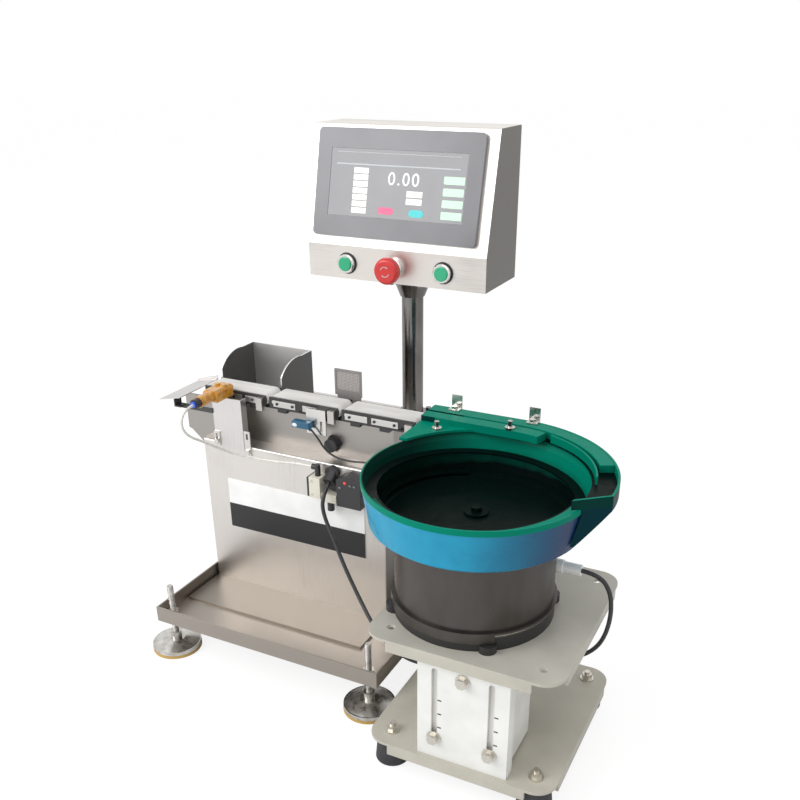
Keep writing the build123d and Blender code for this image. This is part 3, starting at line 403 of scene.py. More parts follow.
dress("sign_plate", smooth_plastic("sign_white", (0.93, 0.93, 0.925), 0.36))
dress("sign_band", smooth_plastic("sign_black", (0.014, 0.014, 0.016), 0.4))


# Pillar at the left end with its slotted brackets, folded from thin light sheet
# It carries the air manifold above the first belt
# The slide and the reject bin are of the same sheet
light_sheet = brushed("light_sheet", (0.62, 0.60, 0.59), 0.36, "Z", marks=0.25)
dress("end_pillar", light_sheet)
small_steel = brushed("small_steel", (0.60, 0.585, 0.56), 0.24, "Z", spread=0.08)
dress("pillar_brackets", small_steel)


# Air manifold: a clear amber plastic body with two nozzles, a black push-in fitting and a blue release ring
# The body is moulded, glossy and lets some light through
# The nozzles blow a rejected piece off the belt into the bin
amber, amber_tree, amber_surface = finish("amber_plastic", (0.78, 0.36, 0.035), 0.16)
amber_cloud = grain(amber_tree, 0.008, detail=3.0)
shade(amber_tree, amber_surface, amber_cloud, (0.60, 0.22, 0.015), (0.86, 0.47, 0.07))
relief(amber_tree, amber_surface, grain(amber_tree, 0.006, detail=2.0), 0.0003, 0.4)
amber_surface.inputs["Transmission Weight"].default_value = 0.25
amber_surface.inputs["Coat Weight"].default_value = 0.6
dress("air_manifold", amber)
black_plastic = smooth_plastic("black_plastic", (0.028, 0.028, 0.030), 0.36)
dress("air_fitting", black_plastic)
dress("release_ring", smooth_plastic("blue_ring", (0.03, 0.13, 0.75), 0.25, coat=0.5))
dress("discharge_slide", light_sheet)
dark_sheet = smooth_plastic("dark_sheet", (0.055, 0.058, 0.055), 0.45)
dress("slide_bracket", dark_sheet)


# Belts: three endless loops of pale grey plastic belt with a fine woven face
# The weave is two crossed sets of ridges, and dirt lies in streaks along each belt
# The loops run on plated rollers
belt_cloth, belt_tree, belt_surface = finish("belt_cloth", (0.70, 0.69, 0.66), 0.55)
belt_place = place_of(belt_tree)
belt_rows = belt_tree.nodes.new("ShaderNodeTexWave")
belt_rows.bands_direction = "X"
belt_rows.inputs["Scale"].default_value = 260.0
belt_lines = belt_tree.nodes.new("ShaderNodeTexWave")
belt_lines.bands_direction = "Y"
belt_lines.inputs["Scale"].default_value = 260.0
belt_cross = belt_tree.nodes.new("ShaderNodeMath")
belt_cross.operation = "MULTIPLY"
belt_tree.links.new(belt_place, belt_rows.inputs["Vector"])
belt_tree.links.new(belt_place, belt_lines.inputs["Vector"])
belt_tree.links.new(belt_rows.outputs["Fac"], belt_cross.inputs[0])
belt_tree.links.new(belt_lines.outputs["Fac"], belt_cross.inputs[1])
relief(belt_tree, belt_surface, belt_cross.outputs[0], 0.0002, 0.5)
belt_dirt = grain(belt_tree, 0.02, (0.25, 1.0, 1.0), detail=5.0)
shade(belt_tree, belt_surface, belt_dirt, (0.60, 0.585, 0.555), (0.76, 0.75, 0.73))
dress("conveyor_belts", belt_cloth)
dress("belt_rollers", small_steel)


# Belt rails: black side bars with slots and bright aluminium panels, metal end blocks and black legs
# Small black cap screws hold each bar to its bed
# Each head is chamfered and has a round recess for the key
def clean_piece(name, form, material, body):
    bmesh.ops.remove_doubles(form, verts=form.verts, dist=0.000002)
    bmesh.ops.recalc_face_normals(form, faces=form.faces)
    data = bpy.data.meshes.new(name)
    form.to_mesh(data)
    form.free()
    made = bpy.data.objects.new(name, data)
    bpy.context.scene.collection.objects.link(made)
    data.materials.append(material)
    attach(made, body)
    return made


def cap_screw(form, place, facing, radius, height):
    sides = 20
    seat = Vector((0, 0, 1)).rotation_difference(facing).to_matrix().to_4x4()
    seat = Matrix.Translation(place) @ seat
    made = bmesh.ops.create_cone(
        form, cap_ends=True, segments=sides, radius1=radius, radius2=radius, depth=height,
        matrix=seat @ Matrix.Translation((0, 0, height / 2)))
    crown = place + facing * height
    caps = {f for v in made["verts"] for f in v.link_faces if len(f.verts) == sides}
    top = min(caps, key=lambda f: (f.calc_center_median() - crown).length)
    bmesh.ops.bevel(
        form, geom=top.edges[:], offset=height * 0.25, segments=2, affect="EDGES", profile=0.5, material=-1)
    caps = [f for f in form.faces if len(f.verts) == sides]
    top = min(caps, key=lambda f: (f.calc_center_median() - crown).length)
    bmesh.ops.inset_individual(form, faces=[top], thickness=radius * 0.35, depth=0.0)
    pressed = bmesh.ops.extrude_discrete_faces(form, faces=[top])
    for face in pressed["faces"]:
        bmesh.ops.translate(form, verts=face.verts, vec=-facing * height * 0.6)


rail_metal = brushed("rail_aluminium", (0.56, 0.545, 0.53), 0.36, "X", spread=0.1)
dress("belt_rails", smooth_plastic("rail_black", (0.030, 0.029, 0.028), 0.4))
dress("end_blocks", brushed("end_block_metal", (0.50, 0.48, 0.455), 0.34, "Z", spread=0.1))
dress("belt_legs", black_plastic)
rail_front = 172.0
panel_form = bmesh.new()
for panel_x, panel_long in ((27, 28), (62, 30), (96, 26), (155, 40), (205, 34), (281, 38), (329, 44)):
    spot = Matrix.Translation(at(panel_x, rail_front - 0.3, 396.6)) @ Matrix.Diagonal((panel_long / 1000, 0.0010, 0.0098, 1.0))
    bmesh.ops.create_cube(panel_form, size=1.0, matrix=spot)
bmesh.ops.bevel(
    panel_form, geom=panel_form.edges[:], offset=0.0003, segments=2, affect="EDGES", profile=0.5, material=-1)
clean_piece("rail_panels", panel_form, rail_metal, "frame")
screw_form = bmesh.new()
screw_z = 396.6
for screw_x in (27, 62, 96, 142, 170, 205, 270, 312, 345):
    cap_screw(screw_form, at(screw_x, rail_front - 0.8, screw_z), Vector((0, -1, 0)), 0.0022, 0.0014)
clean_piece("rail_screws", screw_form, black_plastic, "frame")


# Reject bin behind the first belt, folded from light sheet with rounded cheeks
# It stands on the cabinet's top and catches what the air nozzles blow off
# Its faces turned to the right, the right cheek's outside and the left cheek's inside, carry painted shade
bin_steel = brushed("bin_steel", (0.86, 0.85, 0.84), 0.45, "X", marks=0.4, right_side_shade=0.16)
dress("reject_bin", bin_steel)


# Photo-eye, its slotted bracket and the reflector that faces it
# The eye is a small blue plastic block under the front rail
# The reflector is a framed plate behind the belts with a pale face


def lit(name, colour, glow):
    made, tree, surface = finish(name, colour, 0.35)
    cloud = grain(tree, 0.004, detail=2.0)
    shade(tree, surface, cloud, tuple(0.9 * c for c in colour), colour)
    surface.inputs["Emission Color"].default_value = (*colour, 1.0)
    surface.inputs["Emission Strength"].default_value = glow
    return made


eye_plastic = smooth_plastic("eye_blue", (0.012, 0.10, 0.19), 0.35, coat=0.15)
eye_form = bmesh.new()
bmesh.ops.create_cube(
    eye_form, size=1.0, matrix=Matrix.Translation(at(194.5, 158.5, 377.3)) @ Matrix.Diagonal((0.031, 0.012, 0.0105, 1.0)))
bmesh.ops.bevel(eye_form, geom=eye_form.edges[:], offset=0.0012, segments=3, affect="EDGES", profile=0.5, material=-1)
bmesh.ops.create_cone(
    eye_form, cap_ends=True, segments=20, radius1=0.0024, radius2=0.0018, depth=0.005,
    matrix=Matrix.Translation(at(208.5, 158.5, 371.8)))
eye_piece = clean_piece("eye_body", eye_form, eye_plastic, "frame")
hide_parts("photo_eye")
window_form = bmesh.new()
bmesh.ops.create_uvsphere(
    window_form, u_segments=24, v_segments=12, radius=1.0,
    matrix=Matrix.Translation(at(184.5, 152.8, 376.6)) @ Matrix.Diagonal((0.0046, 0.0012, 0.0032, 1.0)))
clean_piece("eye_window", window_form, lit("window_pale", (0.72, 0.76, 0.76), 0.1), "frame")
dress("photo_eye_bracket", small_steel)
reflector_face, reflector_tree, reflector_surface = finish("reflector_face", (0.40, 0.37, 0.36), 0.35)
cells = reflector_tree.nodes.new("ShaderNodeTexVoronoi")
cells.inputs["Scale"].default_value = 420.0
cells.inputs["Randomness"].default_value = 0.15
reflector_tree.links.new(place_of(reflector_tree), cells.inputs["Vector"])
relief(reflector_tree, reflector_surface, cells.outputs["Distance"], 0.0004, 0.6)
shade(reflector_tree, reflector_surface, cells.outputs["Distance"], (0.52, 0.48, 0.46), (0.20, 0.185, 0.18), 0.1, 0.6)
dress("reflector", reflector_face)


# Pole: a chromed tube bolted to the cabinet's top, with a tapered head under the box
# Its plating is bright with faint rings left by polishing
# The same plating covers the flanges
chrome, chrome_tree, chrome_surface = finish("chrome_tube", (0.36, 0.35, 0.34), 0.16, metal=1.0)
chrome_rings = grain(chrome_tree, 0.002, (0.02, 0.02, 1.0), detail=3.0)
gloss(chrome_tree, chrome_surface, chrome_rings, 0.14, 0.24)
chrome_cloud = grain(chrome_tree, 0.05, detail=3.0)
shade(chrome_tree, chrome_surface, chrome_cloud, (0.16, 0.155, 0.15), (0.24, 0.235, 0.225))
dress("pole", chrome)


# Control box: a folded stainless case, an upright strip for the buttons below a leaning front
# The brushing runs across the front, and the bends are rounded
# A dark touch panel fills the leaning front
# The box's steel carries painted shade on its right-hand side
box_steel = brushed("box_steel", (0.70, 0.665, 0.63), 0.40, "X", marks=0.3, right_side_shade=0.34)
dress("control_box", box_steel)
face_lean = Vector((0.0, 41.0, 173.0)).normalized()
face_out = Vector((0.0, -face_lean.z, face_lean.y))
face_frame = Matrix.Translation(at(268, 326, 613)) @ Matrix((
    (1.0, 0.0, 0.0, 0.0),
    (0.0, face_lean.y, face_out.y, 0.0),
    (0.0, face_lean.z, face_out.z, 0.0),
    (0.0, 0.0, 0.0, 1.0)))
bezel, bezel_tree, bezel_surface = finish("panel_bezel", (0.13, 0.13, 0.145), 0.3)
bezel_cloud = grain(bezel_tree, 0.12, detail=2.0)
shade(bezel_tree, bezel_surface, bezel_cloud, (0.11, 0.11, 0.122), (0.165, 0.165, 0.18))
relief(bezel_tree, bezel_surface, grain(bezel_tree, 0.0008), 0.00003, 0.3)
bezel_surface.inputs["Coat Weight"].default_value = 0.3
bezel_surface.inputs["Coat Roughness"].default_value = 0.08
dress("touch_panel", bezel)


# Screen: a glass plate that shows a read-out in the middle with fields and keys round it
# The read-out, the fields and the keys are thin lit tiles on the glass
# They hold no words, only the figure that a scale shows when nothing is on it
glass, glass_tree, glass_surface = finish("screen_glass", (0.075, 0.075, 0.085), 0.12)
glass_cloud = grain(glass_tree, 0.10, detail=2.0)
shade(glass_tree, glass_surface, glass_cloud, (0.065, 0.065, 0.075), (0.105, 0.105, 0.12))
glass_surface.inputs["Coat Weight"].default_value = 0.8
glass_surface.inputs["Coat Roughness"].default_value = 0.03
dress("panel_screen", glass)


def tile(form, across, up, width, height, corner):
    lift = 0.0066
    size = Matrix.Diagonal((width / 1000, height / 1000, 0.0002, 1.0))
    spot = face_frame @ Matrix.Translation((across / 1000, up / 1000, lift)) @ size
    made = bmesh.ops.create_cube(form, size=1.0, matrix=spot)
    upright = [e for e in {e for v in made["verts"] for e in v.link_edges}
               if abs((e.verts[0].co - e.verts[1].co).normalized().dot(face_out)) > 0.9]
    bmesh.ops.bevel(form, geom=upright, offset=corner / 1000, segments=3, affect="EDGES", profile=0.5, material=-1)


pale_tile = lit("pale_field", (0.80, 0.82, 0.76), 0.35)
pale_form = bmesh.new()
field_rows = 7
for row in range(field_rows):
    tile(pale_form, -63.3, 53.2 + row * 9.6, 25.0, 8.1, 0.6)
for row in range(2):
    tile(pale_form, 28.4, 70.6 + row * 10.5, 26.0, 8.6, 0.6)
clean_piece("screen_fields", pale_form, pale_tile, "frame")
mint_tile = lit("mint_key", (0.52, 0.80, 0.58), 0.3)
mint_form = bmesh.new()
for row in range(4):
    tile(mint_form, 90.5, 54.5 + row * 16.4, 33.0, 10.8, 1.0)
clean_piece("screen_keys", mint_form, mint_tile, "frame")
pink_form = bmesh.new()
tile(pink_form, -17.2, 55.0, 26.0, 10.0, 4.9)
clean_piece("screen_stop_key", pink_form, lit("pink_key", (0.72, 0.10, 0.22), 0.3), "frame")
cyan_form = bmesh.new()
tile(cyan_form, 33.7, 54.2, 24.5, 10.6, 5.2)
clean_piece("screen_start_key", cyan_form, lit("cyan_key", (0.05, 0.50, 0.52), 0.3), "frame")
line_form = bmesh.new()
tile(line_form, -4.0, 119.5, 205.0, 1.6, 0.2)
tile(line_form, -4.0, 136.5, 205.0, 0.6, 0.2)
clean_piece("screen_lines", line_form, lit("line_grey", (0.42, 0.44, 0.45), 0.35), "frame")

figure = bpy.data.curves.new("figure", "FONT")
figure.body = "0.00"
figure.size = 0.026
figure.space_character = 1.2
figure.align_x = "CENTER"
figure.align_y = "CENTER"
figure.extrude = 0.0001
figure_holder = bpy.data.objects.new("figure", figure)
bpy.context.scene.collection.objects.link(figure_holder)
bpy.context.view_layer.update()
graph = bpy.context.evaluated_depsgraph_get()
figure_data = bpy.data.meshes.new_from_object(figure_holder.evaluated_get(graph))
bpy.data.objects.remove(figure_holder)
figure_form = bmesh.new()
figure_form.from_mesh(figure_data)
bmesh.ops.transform(
    figure_form, matrix=face_frame @ Matrix.Translation((0.0085, 0.1005, 0.0066)), verts=figure_form.verts)
clean_piece("screen_figure", figure_form, lit("figure_white", (0.86, 0.88, 0.86), 0.4), "frame")


# Push buttons: two green caps in silver rings, each ring on a thin black gasket
# The caps press 4 mm into the box, and the rings are turned and plated
# The gasket is a thin rubber washer between ring and case
dress("button_rings", brushed("ring_silver", (0.72, 0.72, 0.71), 0.16, "Y", spread=0.06))
green_cap = smooth_plastic("green_cap", (0.012, 0.42, 0.20), 0.25, coat=0.5)
dress("start_button", green_cap)
dress("reset_button", green_cap)


def washer(form, centre, axis, inner, outer, thick):
    seat = Vector((0, 0, 1)).rotation_difference(axis).to_matrix().to_4x4()
    seat = Matrix.Translation(centre) @ seat
    corners = [form.verts.new(seat @ Vector((r, 0.0, h))) for r, h in (
        (inner, 0.0), (outer, 0.0), (outer, thick), (inner, thick))]
    section = form.faces.new(corners)
    bmesh.ops.spin(
        form, geom=[section], cent=centre, axis=axis, dvec=(0, 0, 0), angle=2 * pi, steps=48, use_merge=True)


gasket_rubber = rubbery("gasket_rubber", (0.02, 0.02, 0.022), 0.6)
gasket_form = bmesh.new()
button_height = 586.0
for button_x in (186, 350):
    washer(gasket_form, at(button_x, 326, button_height), Vector((0, -1, 0)), 0.0147, 0.0165, 0.0009)
clean_piece("button_gaskets", gasket_form, gasket_rubber, "frame")


# Emergency stop: a red mushroom head that turns to release
# Two curved arrows on its face show the way to turn, which is usual on such a head
# The head presses 6 mm
dress("emergency_stop", smooth_plastic("stop_red", (0.62, 0.022, 0.020), 0.33, coat=0.3))
arrow_form = bmesh.new()
head_face = at(268, 294, button_height)
for start in (20, 200):
    first = Matrix.Rotation(radians(start), 4, "Y")
    corners = []
    for radius in (0.0068, 0.0080):
        corners.append(arrow_form.verts.new(head_face + first @ Vector((radius, -0.0002, 0.0))))
    stroke = arrow_form.edges.new(corners)
    swept = bmesh.ops.spin(
        arrow_form, geom=[stroke], cent=head_face, axis=(0, 1, 0), dvec=(0, 0, 0), angle=radians(95), steps=14)
    tip_turn = Matrix.Rotation(radians(start + 112), 4, "Y")
    base_turn = Matrix.Rotation(radians(start + 92), 4, "Y")
    tip = [
        head_face + base_turn @ Vector((0.0054, -0.0002, 0.0)),
        head_face + base_turn @ Vector((0.0094, -0.0002, 0.0)),
        head_face + tip_turn @ Vector((0.0074, -0.0002, 0.0))]
    arrow_form.faces.new([arrow_form.verts.new(p) for p in tip])
bmesh.ops.remove_doubles(arrow_form, verts=arrow_form.verts, dist=0.00001)
thick = bmesh.ops.extrude_face_region(arrow_form, geom=arrow_form.faces[:])
raised = [g for g in thick["geom"] if isinstance(g, bmesh.types.BMVert)]
bmesh.ops.translate(arrow_form, verts=raised, vec=(0, 0.0003, 0))
arrow_paint = smooth_plastic("arrow_pale", (0.50, 0.44, 0.43), 0.4)
clean_piece("stop_arrows", arrow_form, arrow_paint, "stop_head")


# Cable glands, socket, valve and sensor amplifier on the front of the cabinet
# The glands and the amplifier are black moulded plastic, the valve body is ivory
# A red lamp glows on the amplifier
dress("cable_glands", black_plastic)
dress("valve_fittings", black_plastic)
dress("sensor_amplifier", black_plastic)
ivory = smooth_plastic("valve_ivory", (0.76, 0.73, 0.62), 0.42)
dress("solenoid_valve", ivory)
lamp_form = bmesh.new()
bmesh.ops.create_uvsphere(
    lamp_form, u_segments=20, v_segments=12, radius=0.0022,
    matrix=Matrix.Translation(at(283, 128.6, 309)) @ Matrix.Diagonal((1.0, 0.6, 1.0, 1.0)))
clean_piece("amplifier_lamp", lamp_form, lit("red_lamp", (0.85, 0.04, 0.03), 0.8), "frame")
key_form = bmesh.new()
for key_x, key_z in ((292, 306), (299, 306), (274, 300)):
    spot = Matrix.Translation(at(key_x, 128.4, key_z)) @ Matrix.Diagonal((0.0044, 0.0016, 0.0028, 1.0))
    bmesh.ops.create_cube(key_form, size=1.0, matrix=spot)
bmesh.ops.bevel(key_form, geom=key_form.edges[:], offset=0.0004, segments=2, affect="EDGES", profile=0.5, material=-1)
clean_piece("amplifier_keys", key_form, smooth_plastic("key_grey", (0.18, 0.18, 0.19), 0.4), "frame")
valve_form = bmesh.new()
for screw_z in (278.0, 300.0):
    cap_screw(valve_form, at(223.5, 130, screw_z), Vector((0, -1, 0)), 0.0020, 0.0012)
clean_piece("valve_screws", valve_form, small_steel, "frame")


# Feeder stand: two powder-coated plates with turned-down rims, rubber feet and a slotted column
# The lower plate and the column stay, and the post, the upper plate and the drive slide up together
# The coat is a warm light grey with a fine orange-peel skin
def coated(name, colour, roughness, peel=0.0016):
    made, tree, surface = finish(name, colour, roughness)
    cloud = grain(tree, 0.05, detail=4.0)
    shade(tree, surface, cloud, tuple(0.9 * c for c in colour), tuple(min(1.0, 1.04 * c) for c in colour))
    gloss(tree, surface, cloud, roughness - 0.05, roughness + 0.1)
    relief(tree, surface, grain(tree, peel, detail=2.0), 0.00012, 0.35)
    return made


stand_paint = coated("stand_paint", (0.53, 0.505, 0.435), 0.42)
dress("lower_plate", stand_paint)
dress("upper_plate", stand_paint)
dress("rubber_feet", rubbery("foot_rubber", (0.028, 0.027, 0.032), 0.65))
column_white = coated("column_white", (0.86, 0.86, 0.83), 0.45)
dress("column_channel", column_white)
dress("column_post", coated("post_paint", (0.80, 0.79, 0.75), 0.45))
bolt_zinc = brushed("bolt_zinc", (0.60, 0.575, 0.52), 0.3, "Z", spread=0.1, marks=0.5)
dress("stand_bolts", bolt_zinc)
dress("column_bolts", bolt_zinc)
mark_form = bmesh.new()
column_front = -76.0
for mark_x, mark_z in ((533.4, 141), (533.4, 119), (533.4, 97), (611.4, 141), (611.4, 119), (611.4, 97)):
    spot = Matrix.Translation(at(mark_x, column_front - 0.05, mark_z)) @ Matrix.Diagonal((0.0054, 0.0001, 0.0020, 1.0))
    bmesh.ops.create_cube(mark_form, size=1.0, matrix=spot)
bmesh.ops.bevel(
    mark_form, geom=mark_form.edges[:], offset=0.00002, segments=1, affect="EDGES", profile=0.5, material=-1)
clean_piece("column_marks", mark_form, smooth_plastic("mark_black", (0.03, 0.03, 0.03), 0.5), "frame")


# Feeder drive: a black base ring with bolt lugs, a light seat on it and a dark metallic housing
# The housing is a rolled sheet drum with a cut-away skirt, and a white gland at its right side
# The seat shows where the skirt is cut away
drive_paint, drive_tree, drive_surface = finish("drive_paint", (0.105, 0.096, 0.088), 0.30, metal=0.8)
drive_lines = grain(drive_tree, 0.03, (1.0, 1.0, 0.3), detail=3.0)
shade(drive_tree, drive_surface, drive_lines, (0.075, 0.068, 0.062), (0.098, 0.089, 0.082))
gloss(drive_tree, drive_surface, drive_lines, 0.26, 0.40)
relief(drive_tree, drive_surface, grain(drive_tree, 0.0012), 0.00005, 0.3)
dress("drive_housing", drive_paint)
ring_paint, ring_tree, ring_surface = finish("ring_black", (0.022, 0.022, 0.023), 0.45)
ring_height = ring_tree.nodes.new("ShaderNodeSeparateXYZ")
ring_tree.links.new(place_of(ring_tree), ring_height.inputs[0])
seat_edge = ring_tree.nodes.new("ShaderNodeMapRange")
seat_edge.inputs["From Min"].default_value = 0.2348
seat_edge.inputs["From Max"].default_value = 0.2352
ring_tree.links.new(ring_height.outputs["Z"], seat_edge.inputs["Value"])
shade(ring_tree, ring_surface, seat_edge.outputs["Result"], (0.022, 0.022, 0.023), (0.56, 0.53, 0.46), 0.4, 0.6)
relief(ring_tree, ring_surface, grain(ring_tree, 0.0022, detail=5.0), 0.00025, 0.5)
dress("base_ring", ring_paint)
dress("drive_gland", smooth_plastic("gland_white", (0.94, 0.94, 0.91), 0.35, coat=0.3))


# Bowl: a blue painted shell round a green coated lining with a ledge that climbs its wall
# The coating is a smooth polyurethane skin, dark on its flat upward faces below the lip, and darkened by painted shade
# lower down, in the middle and inside the left wall
# It is green on the lip and on the wall above the ledge, and the blue shell carries painted shade on its right side
blue_paint, blue_tree, blue_surface = finish("bowl_blue", (0.008, 0.33, 0.60), 0.34)
blue_cloud = grain(blue_tree, 0.03, detail=4.0)
blue_ramp = shade(blue_tree, blue_surface, blue_cloud, (0.006, 0.27, 0.45), (0.009, 0.32, 0.52))
gloss(blue_tree, blue_surface, blue_cloud, 0.24, 0.38)
relief(blue_tree, blue_surface, grain(blue_tree, 0.0025, detail=2.0), 0.00012, 0.4)
blue_surface.inputs["Coat Weight"].default_value = 0.1
blue_surface.inputs["Specular IOR Level"].default_value = 0.25
# Faces turned to the right are mixed towards a dark blue: painted shade on the shell's right side
blue_facing = blue_tree.nodes.new("ShaderNodeTexCoord")
blue_sides = blue_tree.nodes.new("ShaderNodeSeparateXYZ")
blue_tree.links.new(blue_facing.outputs["Normal"], blue_sides.inputs[0])
blue_right_shade_mask = blue_tree.nodes.new("ShaderNodeMapRange")
blue_right_shade_mask.inputs["From Min"].default_value = 0.30
blue_right_shade_mask.inputs["From Max"].default_value = 0.92
blue_tree.links.new(blue_sides.outputs["X"], blue_right_shade_mask.inputs["Value"])
blue_painted_shade = blue_tree.nodes.new("ShaderNodeMix")
blue_painted_shade.data_type = "RGBA"
blue_painted_shade.inputs["B"].default_value = (0.001, 0.028, 0.10, 1.0)
blue_tree.links.new(blue_right_shade_mask.outputs["Result"], blue_painted_shade.inputs["Factor"])
blue_tree.links.new(blue_ramp.outputs["Color"], blue_painted_shade.inputs["A"])
blue_tree.links.new(blue_painted_shade.outputs["Result"], blue_surface.inputs["Base Color"])
dress("bowl_shell", blue_paint)


bowl_middle = at(528, 44, 0)


def bowl_coat(name, low_z, high_z, left_shade, wall_from):
    made, tree, surface = finish(name, (0.001, 0.20, 0.125), 0.34)
    surface.inputs["Specular IOR Level"].default_value = 0.05
    spot = place_of(tree)
    parts = tree.nodes.new("ShaderNodeSeparateXYZ")
    tree.links.new(spot, parts.inputs[0])
    wander = tree.nodes.new("ShaderNodeMath")
    wander.operation = "MULTIPLY_ADD"
    wander.inputs[1].default_value = 0.008
    tree.links.new(grain(tree, 0.02, detail=4.0), wander.inputs[0])
    tree.links.new(parts.outputs["Z"], wander.inputs[2])
    # Lower down and nearer the middle the green turns dark: painted shade down in the bowl
    height_shade = tree.nodes.new("ShaderNodeMapRange")
    height_shade.inputs["From Min"].default_value = low_z + 0.004
    height_shade.inputs["From Max"].default_value = high_z + 0.004
    tree.links.new(wander.outputs[0], height_shade.inputs["Value"])
    facing = tree.nodes.new("ShaderNodeTexCoord")
    slope = tree.nodes.new("ShaderNodeSeparateXYZ")
    tree.links.new(facing.outputs["Normal"], slope.inputs[0])
    flat_top = tree.nodes.new("ShaderNodeMath")
    flat_top.operation = "GREATER_THAN"
    flat_top.inputs[1].default_value = 0.6
    tree.links.new(slope.outputs["Z"], flat_top.inputs[0])
    under_lip = tree.nodes.new("ShaderNodeMath")
    under_lip.operation = "LESS_THAN"
    under_lip.inputs[1].default_value = high_z + 0.005
    tree.links.new(parts.outputs["Z"], under_lip.inputs[0])
    flat_below_lip = tree.nodes.new("ShaderNodeMath")
    flat_below_lip.operation = "MULTIPLY"
    tree.links.new(flat_top.outputs[0], flat_below_lip.inputs[0])
    tree.links.new(under_lip.outputs[0], flat_below_lip.inputs[1])
    # The inside of the left wall, turned away from the lamp, is darkened by painted shade, though not on the lip
    left_shade_ramp = tree.nodes.new("ShaderNodeMapRange")
    left_shade_ramp.inputs["From Min"].default_value = bowl_middle.x - 0.125
    left_shade_ramp.inputs["From Max"].default_value = bowl_middle.x - 0.04
    left_shade_ramp.inputs["To Min"].default_value = 1.0 - left_shade
    tree.links.new(parts.outputs["X"], left_shade_ramp.inputs["Value"])
    left_painted_shade = tree.nodes.new("ShaderNodeMath")
    left_painted_shade.operation = "MAXIMUM"
    tree.links.new(left_shade_ramp.outputs["Result"], left_painted_shade.inputs[0])
    from_middle = tree.nodes.new("ShaderNodeVectorMath")
    from_middle.operation = "SUBTRACT"
    from_middle.inputs[1].default_value = bowl_middle
    level = tree.nodes.new("ShaderNodeVectorMath")
    level.operation = "MULTIPLY"
    level.inputs[1].default_value = (1.0, 1.0, 0.0)
    radius = tree.nodes.new("ShaderNodeVectorMath")
    radius.operation = "LENGTH"
    lip = tree.nodes.new("ShaderNodeMath")
    lip.operation = "GREATER_THAN"
    lip.inputs[1].default_value = 0.1462
    tree.links.new(spot, from_middle.inputs[0])
    tree.links.new(from_middle.outputs[0], level.inputs[0])
    tree.links.new(level.outputs[0], radius.inputs[0])
    tree.links.new(radius.outputs["Value"], lip.inputs[0])
    tree.links.new(lip.outputs[0], left_painted_shade.inputs[1])
    kept = tree.nodes.new("ShaderNodeMath")
    kept.operation = "SUBTRACT"
    kept.inputs[0].default_value = 1.0
    tree.links.new(flat_below_lip.outputs[0], kept.inputs[1])
    share = tree.nodes.new("ShaderNodeMath")
    share.operation = "MULTIPLY"
    on_wall = tree.nodes.new("ShaderNodeMath")
    on_wall.operation = "GREATER_THAN"
    on_wall.inputs[1].default_value = wall_from
    tree.links.new(radius.outputs["Value"], on_wall.inputs[0])
    above = tree.nodes.new("ShaderNodeMath")
    above.operation = "MULTIPLY"
    tree.links.new(height_shade.outputs["Result"], above.inputs[0])
    tree.links.new(on_wall.outputs[0], above.inputs[1])
    tree.links.new(above.outputs[0], share.inputs[0])
    tree.links.new(kept.outputs[0], share.inputs[1])
    whole = tree.nodes.new("ShaderNodeMath")
    whole.operation = "MULTIPLY"
    tree.links.new(share.outputs[0], whole.inputs[0])
    tree.links.new(left_painted_shade.outputs[0], whole.inputs[1])
    ramp = shade(tree, surface, whole.outputs[0], (0.0015, 0.006, 0.005), (0.0005, 0.215, 0.14), 0.0, 1.0)
    gloss(tree, surface, grain(tree, 0.012, detail=4.0), 0.28, 0.44)
    relief(tree, surface, grain(tree, 0.003, detail=3.0), 0.0002, 0.35)
    return made, tree, surface, parts, ramp, slope, radius


lining_coat = bowl_coat("bowl_green", 0.364, 0.388, 0.9, 0.1315)[0]
dress("bowl_lining", lining_coat)


# Exit track: its skin below the rim is painted blue with the shell, in a darker blue that is painted shade, and its
# rails are green
# The lane's slot goes on round the bowl between a curved rail and a thin fence
# Towards its mouth the trough is open and its flat floor is dark; lower parts, the outer wall, the mouth's front face
# and the thin deck carry painted shade
track_coat, track_tree, track_surface, track_parts, track_ramp, track_slope, track_radius = bowl_coat(
    "track_green", 0.380, 0.4055, 0.0, 0.1)
# The skin below the rim takes a dark navy: the shell's blue with painted shade
shaded_skin_blue = track_tree.nodes.new("ShaderNodeMix")
shaded_skin_blue.data_type = "RGBA"
shaded_skin_blue.inputs["B"].default_value = (0.004, 0.12, 0.25, 1.0)
skin_edge = track_tree.nodes.new("ShaderNodeMath")
skin_edge.operation = "LESS_THAN"
skin_edge.inputs[1].default_value = 0.4065
track_tree.links.new(track_parts.outputs["Z"], skin_edge.inputs[0])
track_tree.links.new(skin_edge.outputs[0], shaded_skin_blue.inputs["Factor"])
track_tree.links.new(track_ramp.outputs["Color"], shaded_skin_blue.inputs["A"])
# The outside of the outer wall and the mouth's front face are darkened by painted shade
outside = track_tree.nodes.new("ShaderNodeMath")
outside.operation = "GREATER_THAN"
outside.inputs[1].default_value = 0.1745
track_tree.links.new(track_radius.outputs["Value"], outside.inputs[0])
to_front = track_tree.nodes.new("ShaderNodeMath")
to_front.operation = "LESS_THAN"
to_front.inputs[1].default_value = -0.55
track_tree.links.new(track_slope.outputs["Y"], to_front.inputs[0])
mouth = track_tree.nodes.new("ShaderNodeMath")
mouth.operation = "LESS_THAN"
mouth.inputs[1].default_value = bowl_middle.y + 0.03
track_tree.links.new(track_parts.outputs["Y"], mouth.inputs[0])
mouth_front_shade = track_tree.nodes.new("ShaderNodeMath")
mouth_front_shade.operation = "MULTIPLY"
track_tree.links.new(to_front.outputs[0], mouth_front_shade.inputs[0])
track_tree.links.new(mouth.outputs[0], mouth_front_shade.inputs[1])
upright = track_tree.nodes.new("ShaderNodeMath")
upright.operation = "LESS_THAN"
upright.inputs[1].default_value = 0.5
track_tree.links.new(track_slope.outputs["Z"], upright.inputs[0])
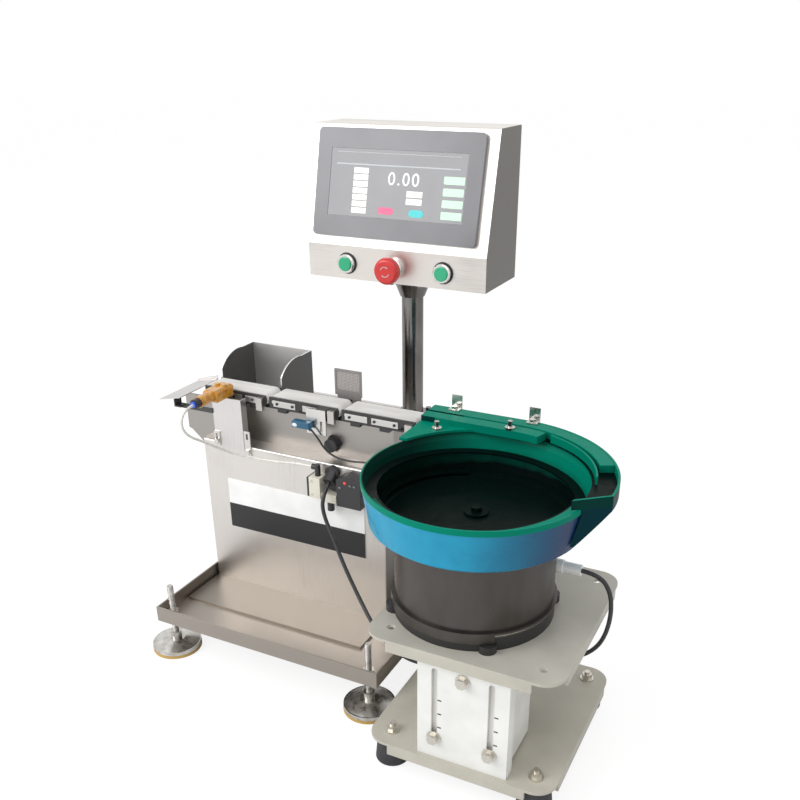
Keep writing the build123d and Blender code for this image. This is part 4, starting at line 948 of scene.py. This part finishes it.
outer_wall_shade = track_tree.nodes.new("ShaderNodeMath")
outer_wall_shade.operation = "MULTIPLY"
track_tree.links.new(outside.outputs[0], outer_wall_shade.inputs[0])
track_tree.links.new(upright.outputs[0], outer_wall_shade.inputs[1])
either = track_tree.nodes.new("ShaderNodeMath")
either.operation = "MAXIMUM"
track_tree.links.new(outer_wall_shade.outputs[0], either.inputs[0])
track_tree.links.new(mouth_front_shade.outputs[0], either.inputs[1])
wall_share = track_tree.nodes.new("ShaderNodeMath")
wall_share.operation = "MULTIPLY"
wall_share.inputs[1].default_value = 0.92
track_tree.links.new(either.outputs[0], wall_share.inputs[0])
# The thin deck under the strip is darkened too, by a lighter painted shade
deck_low = track_tree.nodes.new("ShaderNodeMath")
deck_low.operation = "LESS_THAN"
deck_low.inputs[1].default_value = 0.4088
track_tree.links.new(track_parts.outputs["Z"], deck_low.inputs[0])
deck = track_tree.nodes.new("ShaderNodeMath")
deck.operation = "SUBTRACT"
track_tree.links.new(deck_low.outputs[0], deck.inputs[0])
track_tree.links.new(skin_edge.outputs[0], deck.inputs[1])
deck_share = track_tree.nodes.new("ShaderNodeMath")
deck_share.operation = "MULTIPLY"
deck_share.inputs[1].default_value = 0.55
track_tree.links.new(deck.outputs[0], deck_share.inputs[0])
painted_shade_share = track_tree.nodes.new("ShaderNodeMath")
painted_shade_share.operation = "MAXIMUM"
track_tree.links.new(wall_share.outputs[0], painted_shade_share.inputs[0])
track_tree.links.new(deck_share.outputs[0], painted_shade_share.inputs[1])
painted_wall_shade = track_tree.nodes.new("ShaderNodeMix")
painted_wall_shade.data_type = "RGBA"
painted_wall_shade.inputs["B"].default_value = (0.001, 0.022, 0.022, 1.0)
track_tree.links.new(painted_shade_share.outputs[0], painted_wall_shade.inputs["Factor"])
track_tree.links.new(shaded_skin_blue.outputs["Result"], painted_wall_shade.inputs["A"])
track_tree.links.new(painted_wall_shade.outputs["Result"], track_surface.inputs["Base Color"])
dress("exit_track", track_coat)


def curved_bar(form, inner, outer, low, high, start, end, steps):
    first = Matrix.Rotation(radians(start), 4, "Z")
    corners = []
    for radius, height in ((inner, low), (outer, low), (outer, high), (inner, high)):
        corners.append(form.verts.new(bowl_middle + first @ Vector((radius / 1000, 0.0, height / 1000))))
    section = form.faces.new(corners)
    swept = bmesh.ops.spin(
        form, geom=[section], cent=bowl_middle, axis=(0, 0, 1), dvec=(0, 0, 0), angle=radians(end - start),
        steps=steps)
    return swept["geom_last"]


rail_form = bmesh.new()
curved_bar(rail_form, 153.0, 171.9, 409.1, 419.8, 27.0, 90.3, 40)
curved_bar(rail_form, 145.0, 148.0, 404.0, 420.0, 14.0, 70.0, 36)
curved_bar(rail_form, 128.0, 148.0, 408.2, 420.0, 74.0, 90.3, 14)
sharp = [e for e in rail_form.edges if len(e.link_faces) == 2 and e.calc_face_angle() > 1.0]
bmesh.ops.bevel(rail_form, geom=sharp, offset=0.0006, segments=2, affect="EDGES", profile=0.5, material=-1)
clean_piece("curved_rails", rail_form, track_coat, "feeder_head")
dress("track_brackets", small_steel)
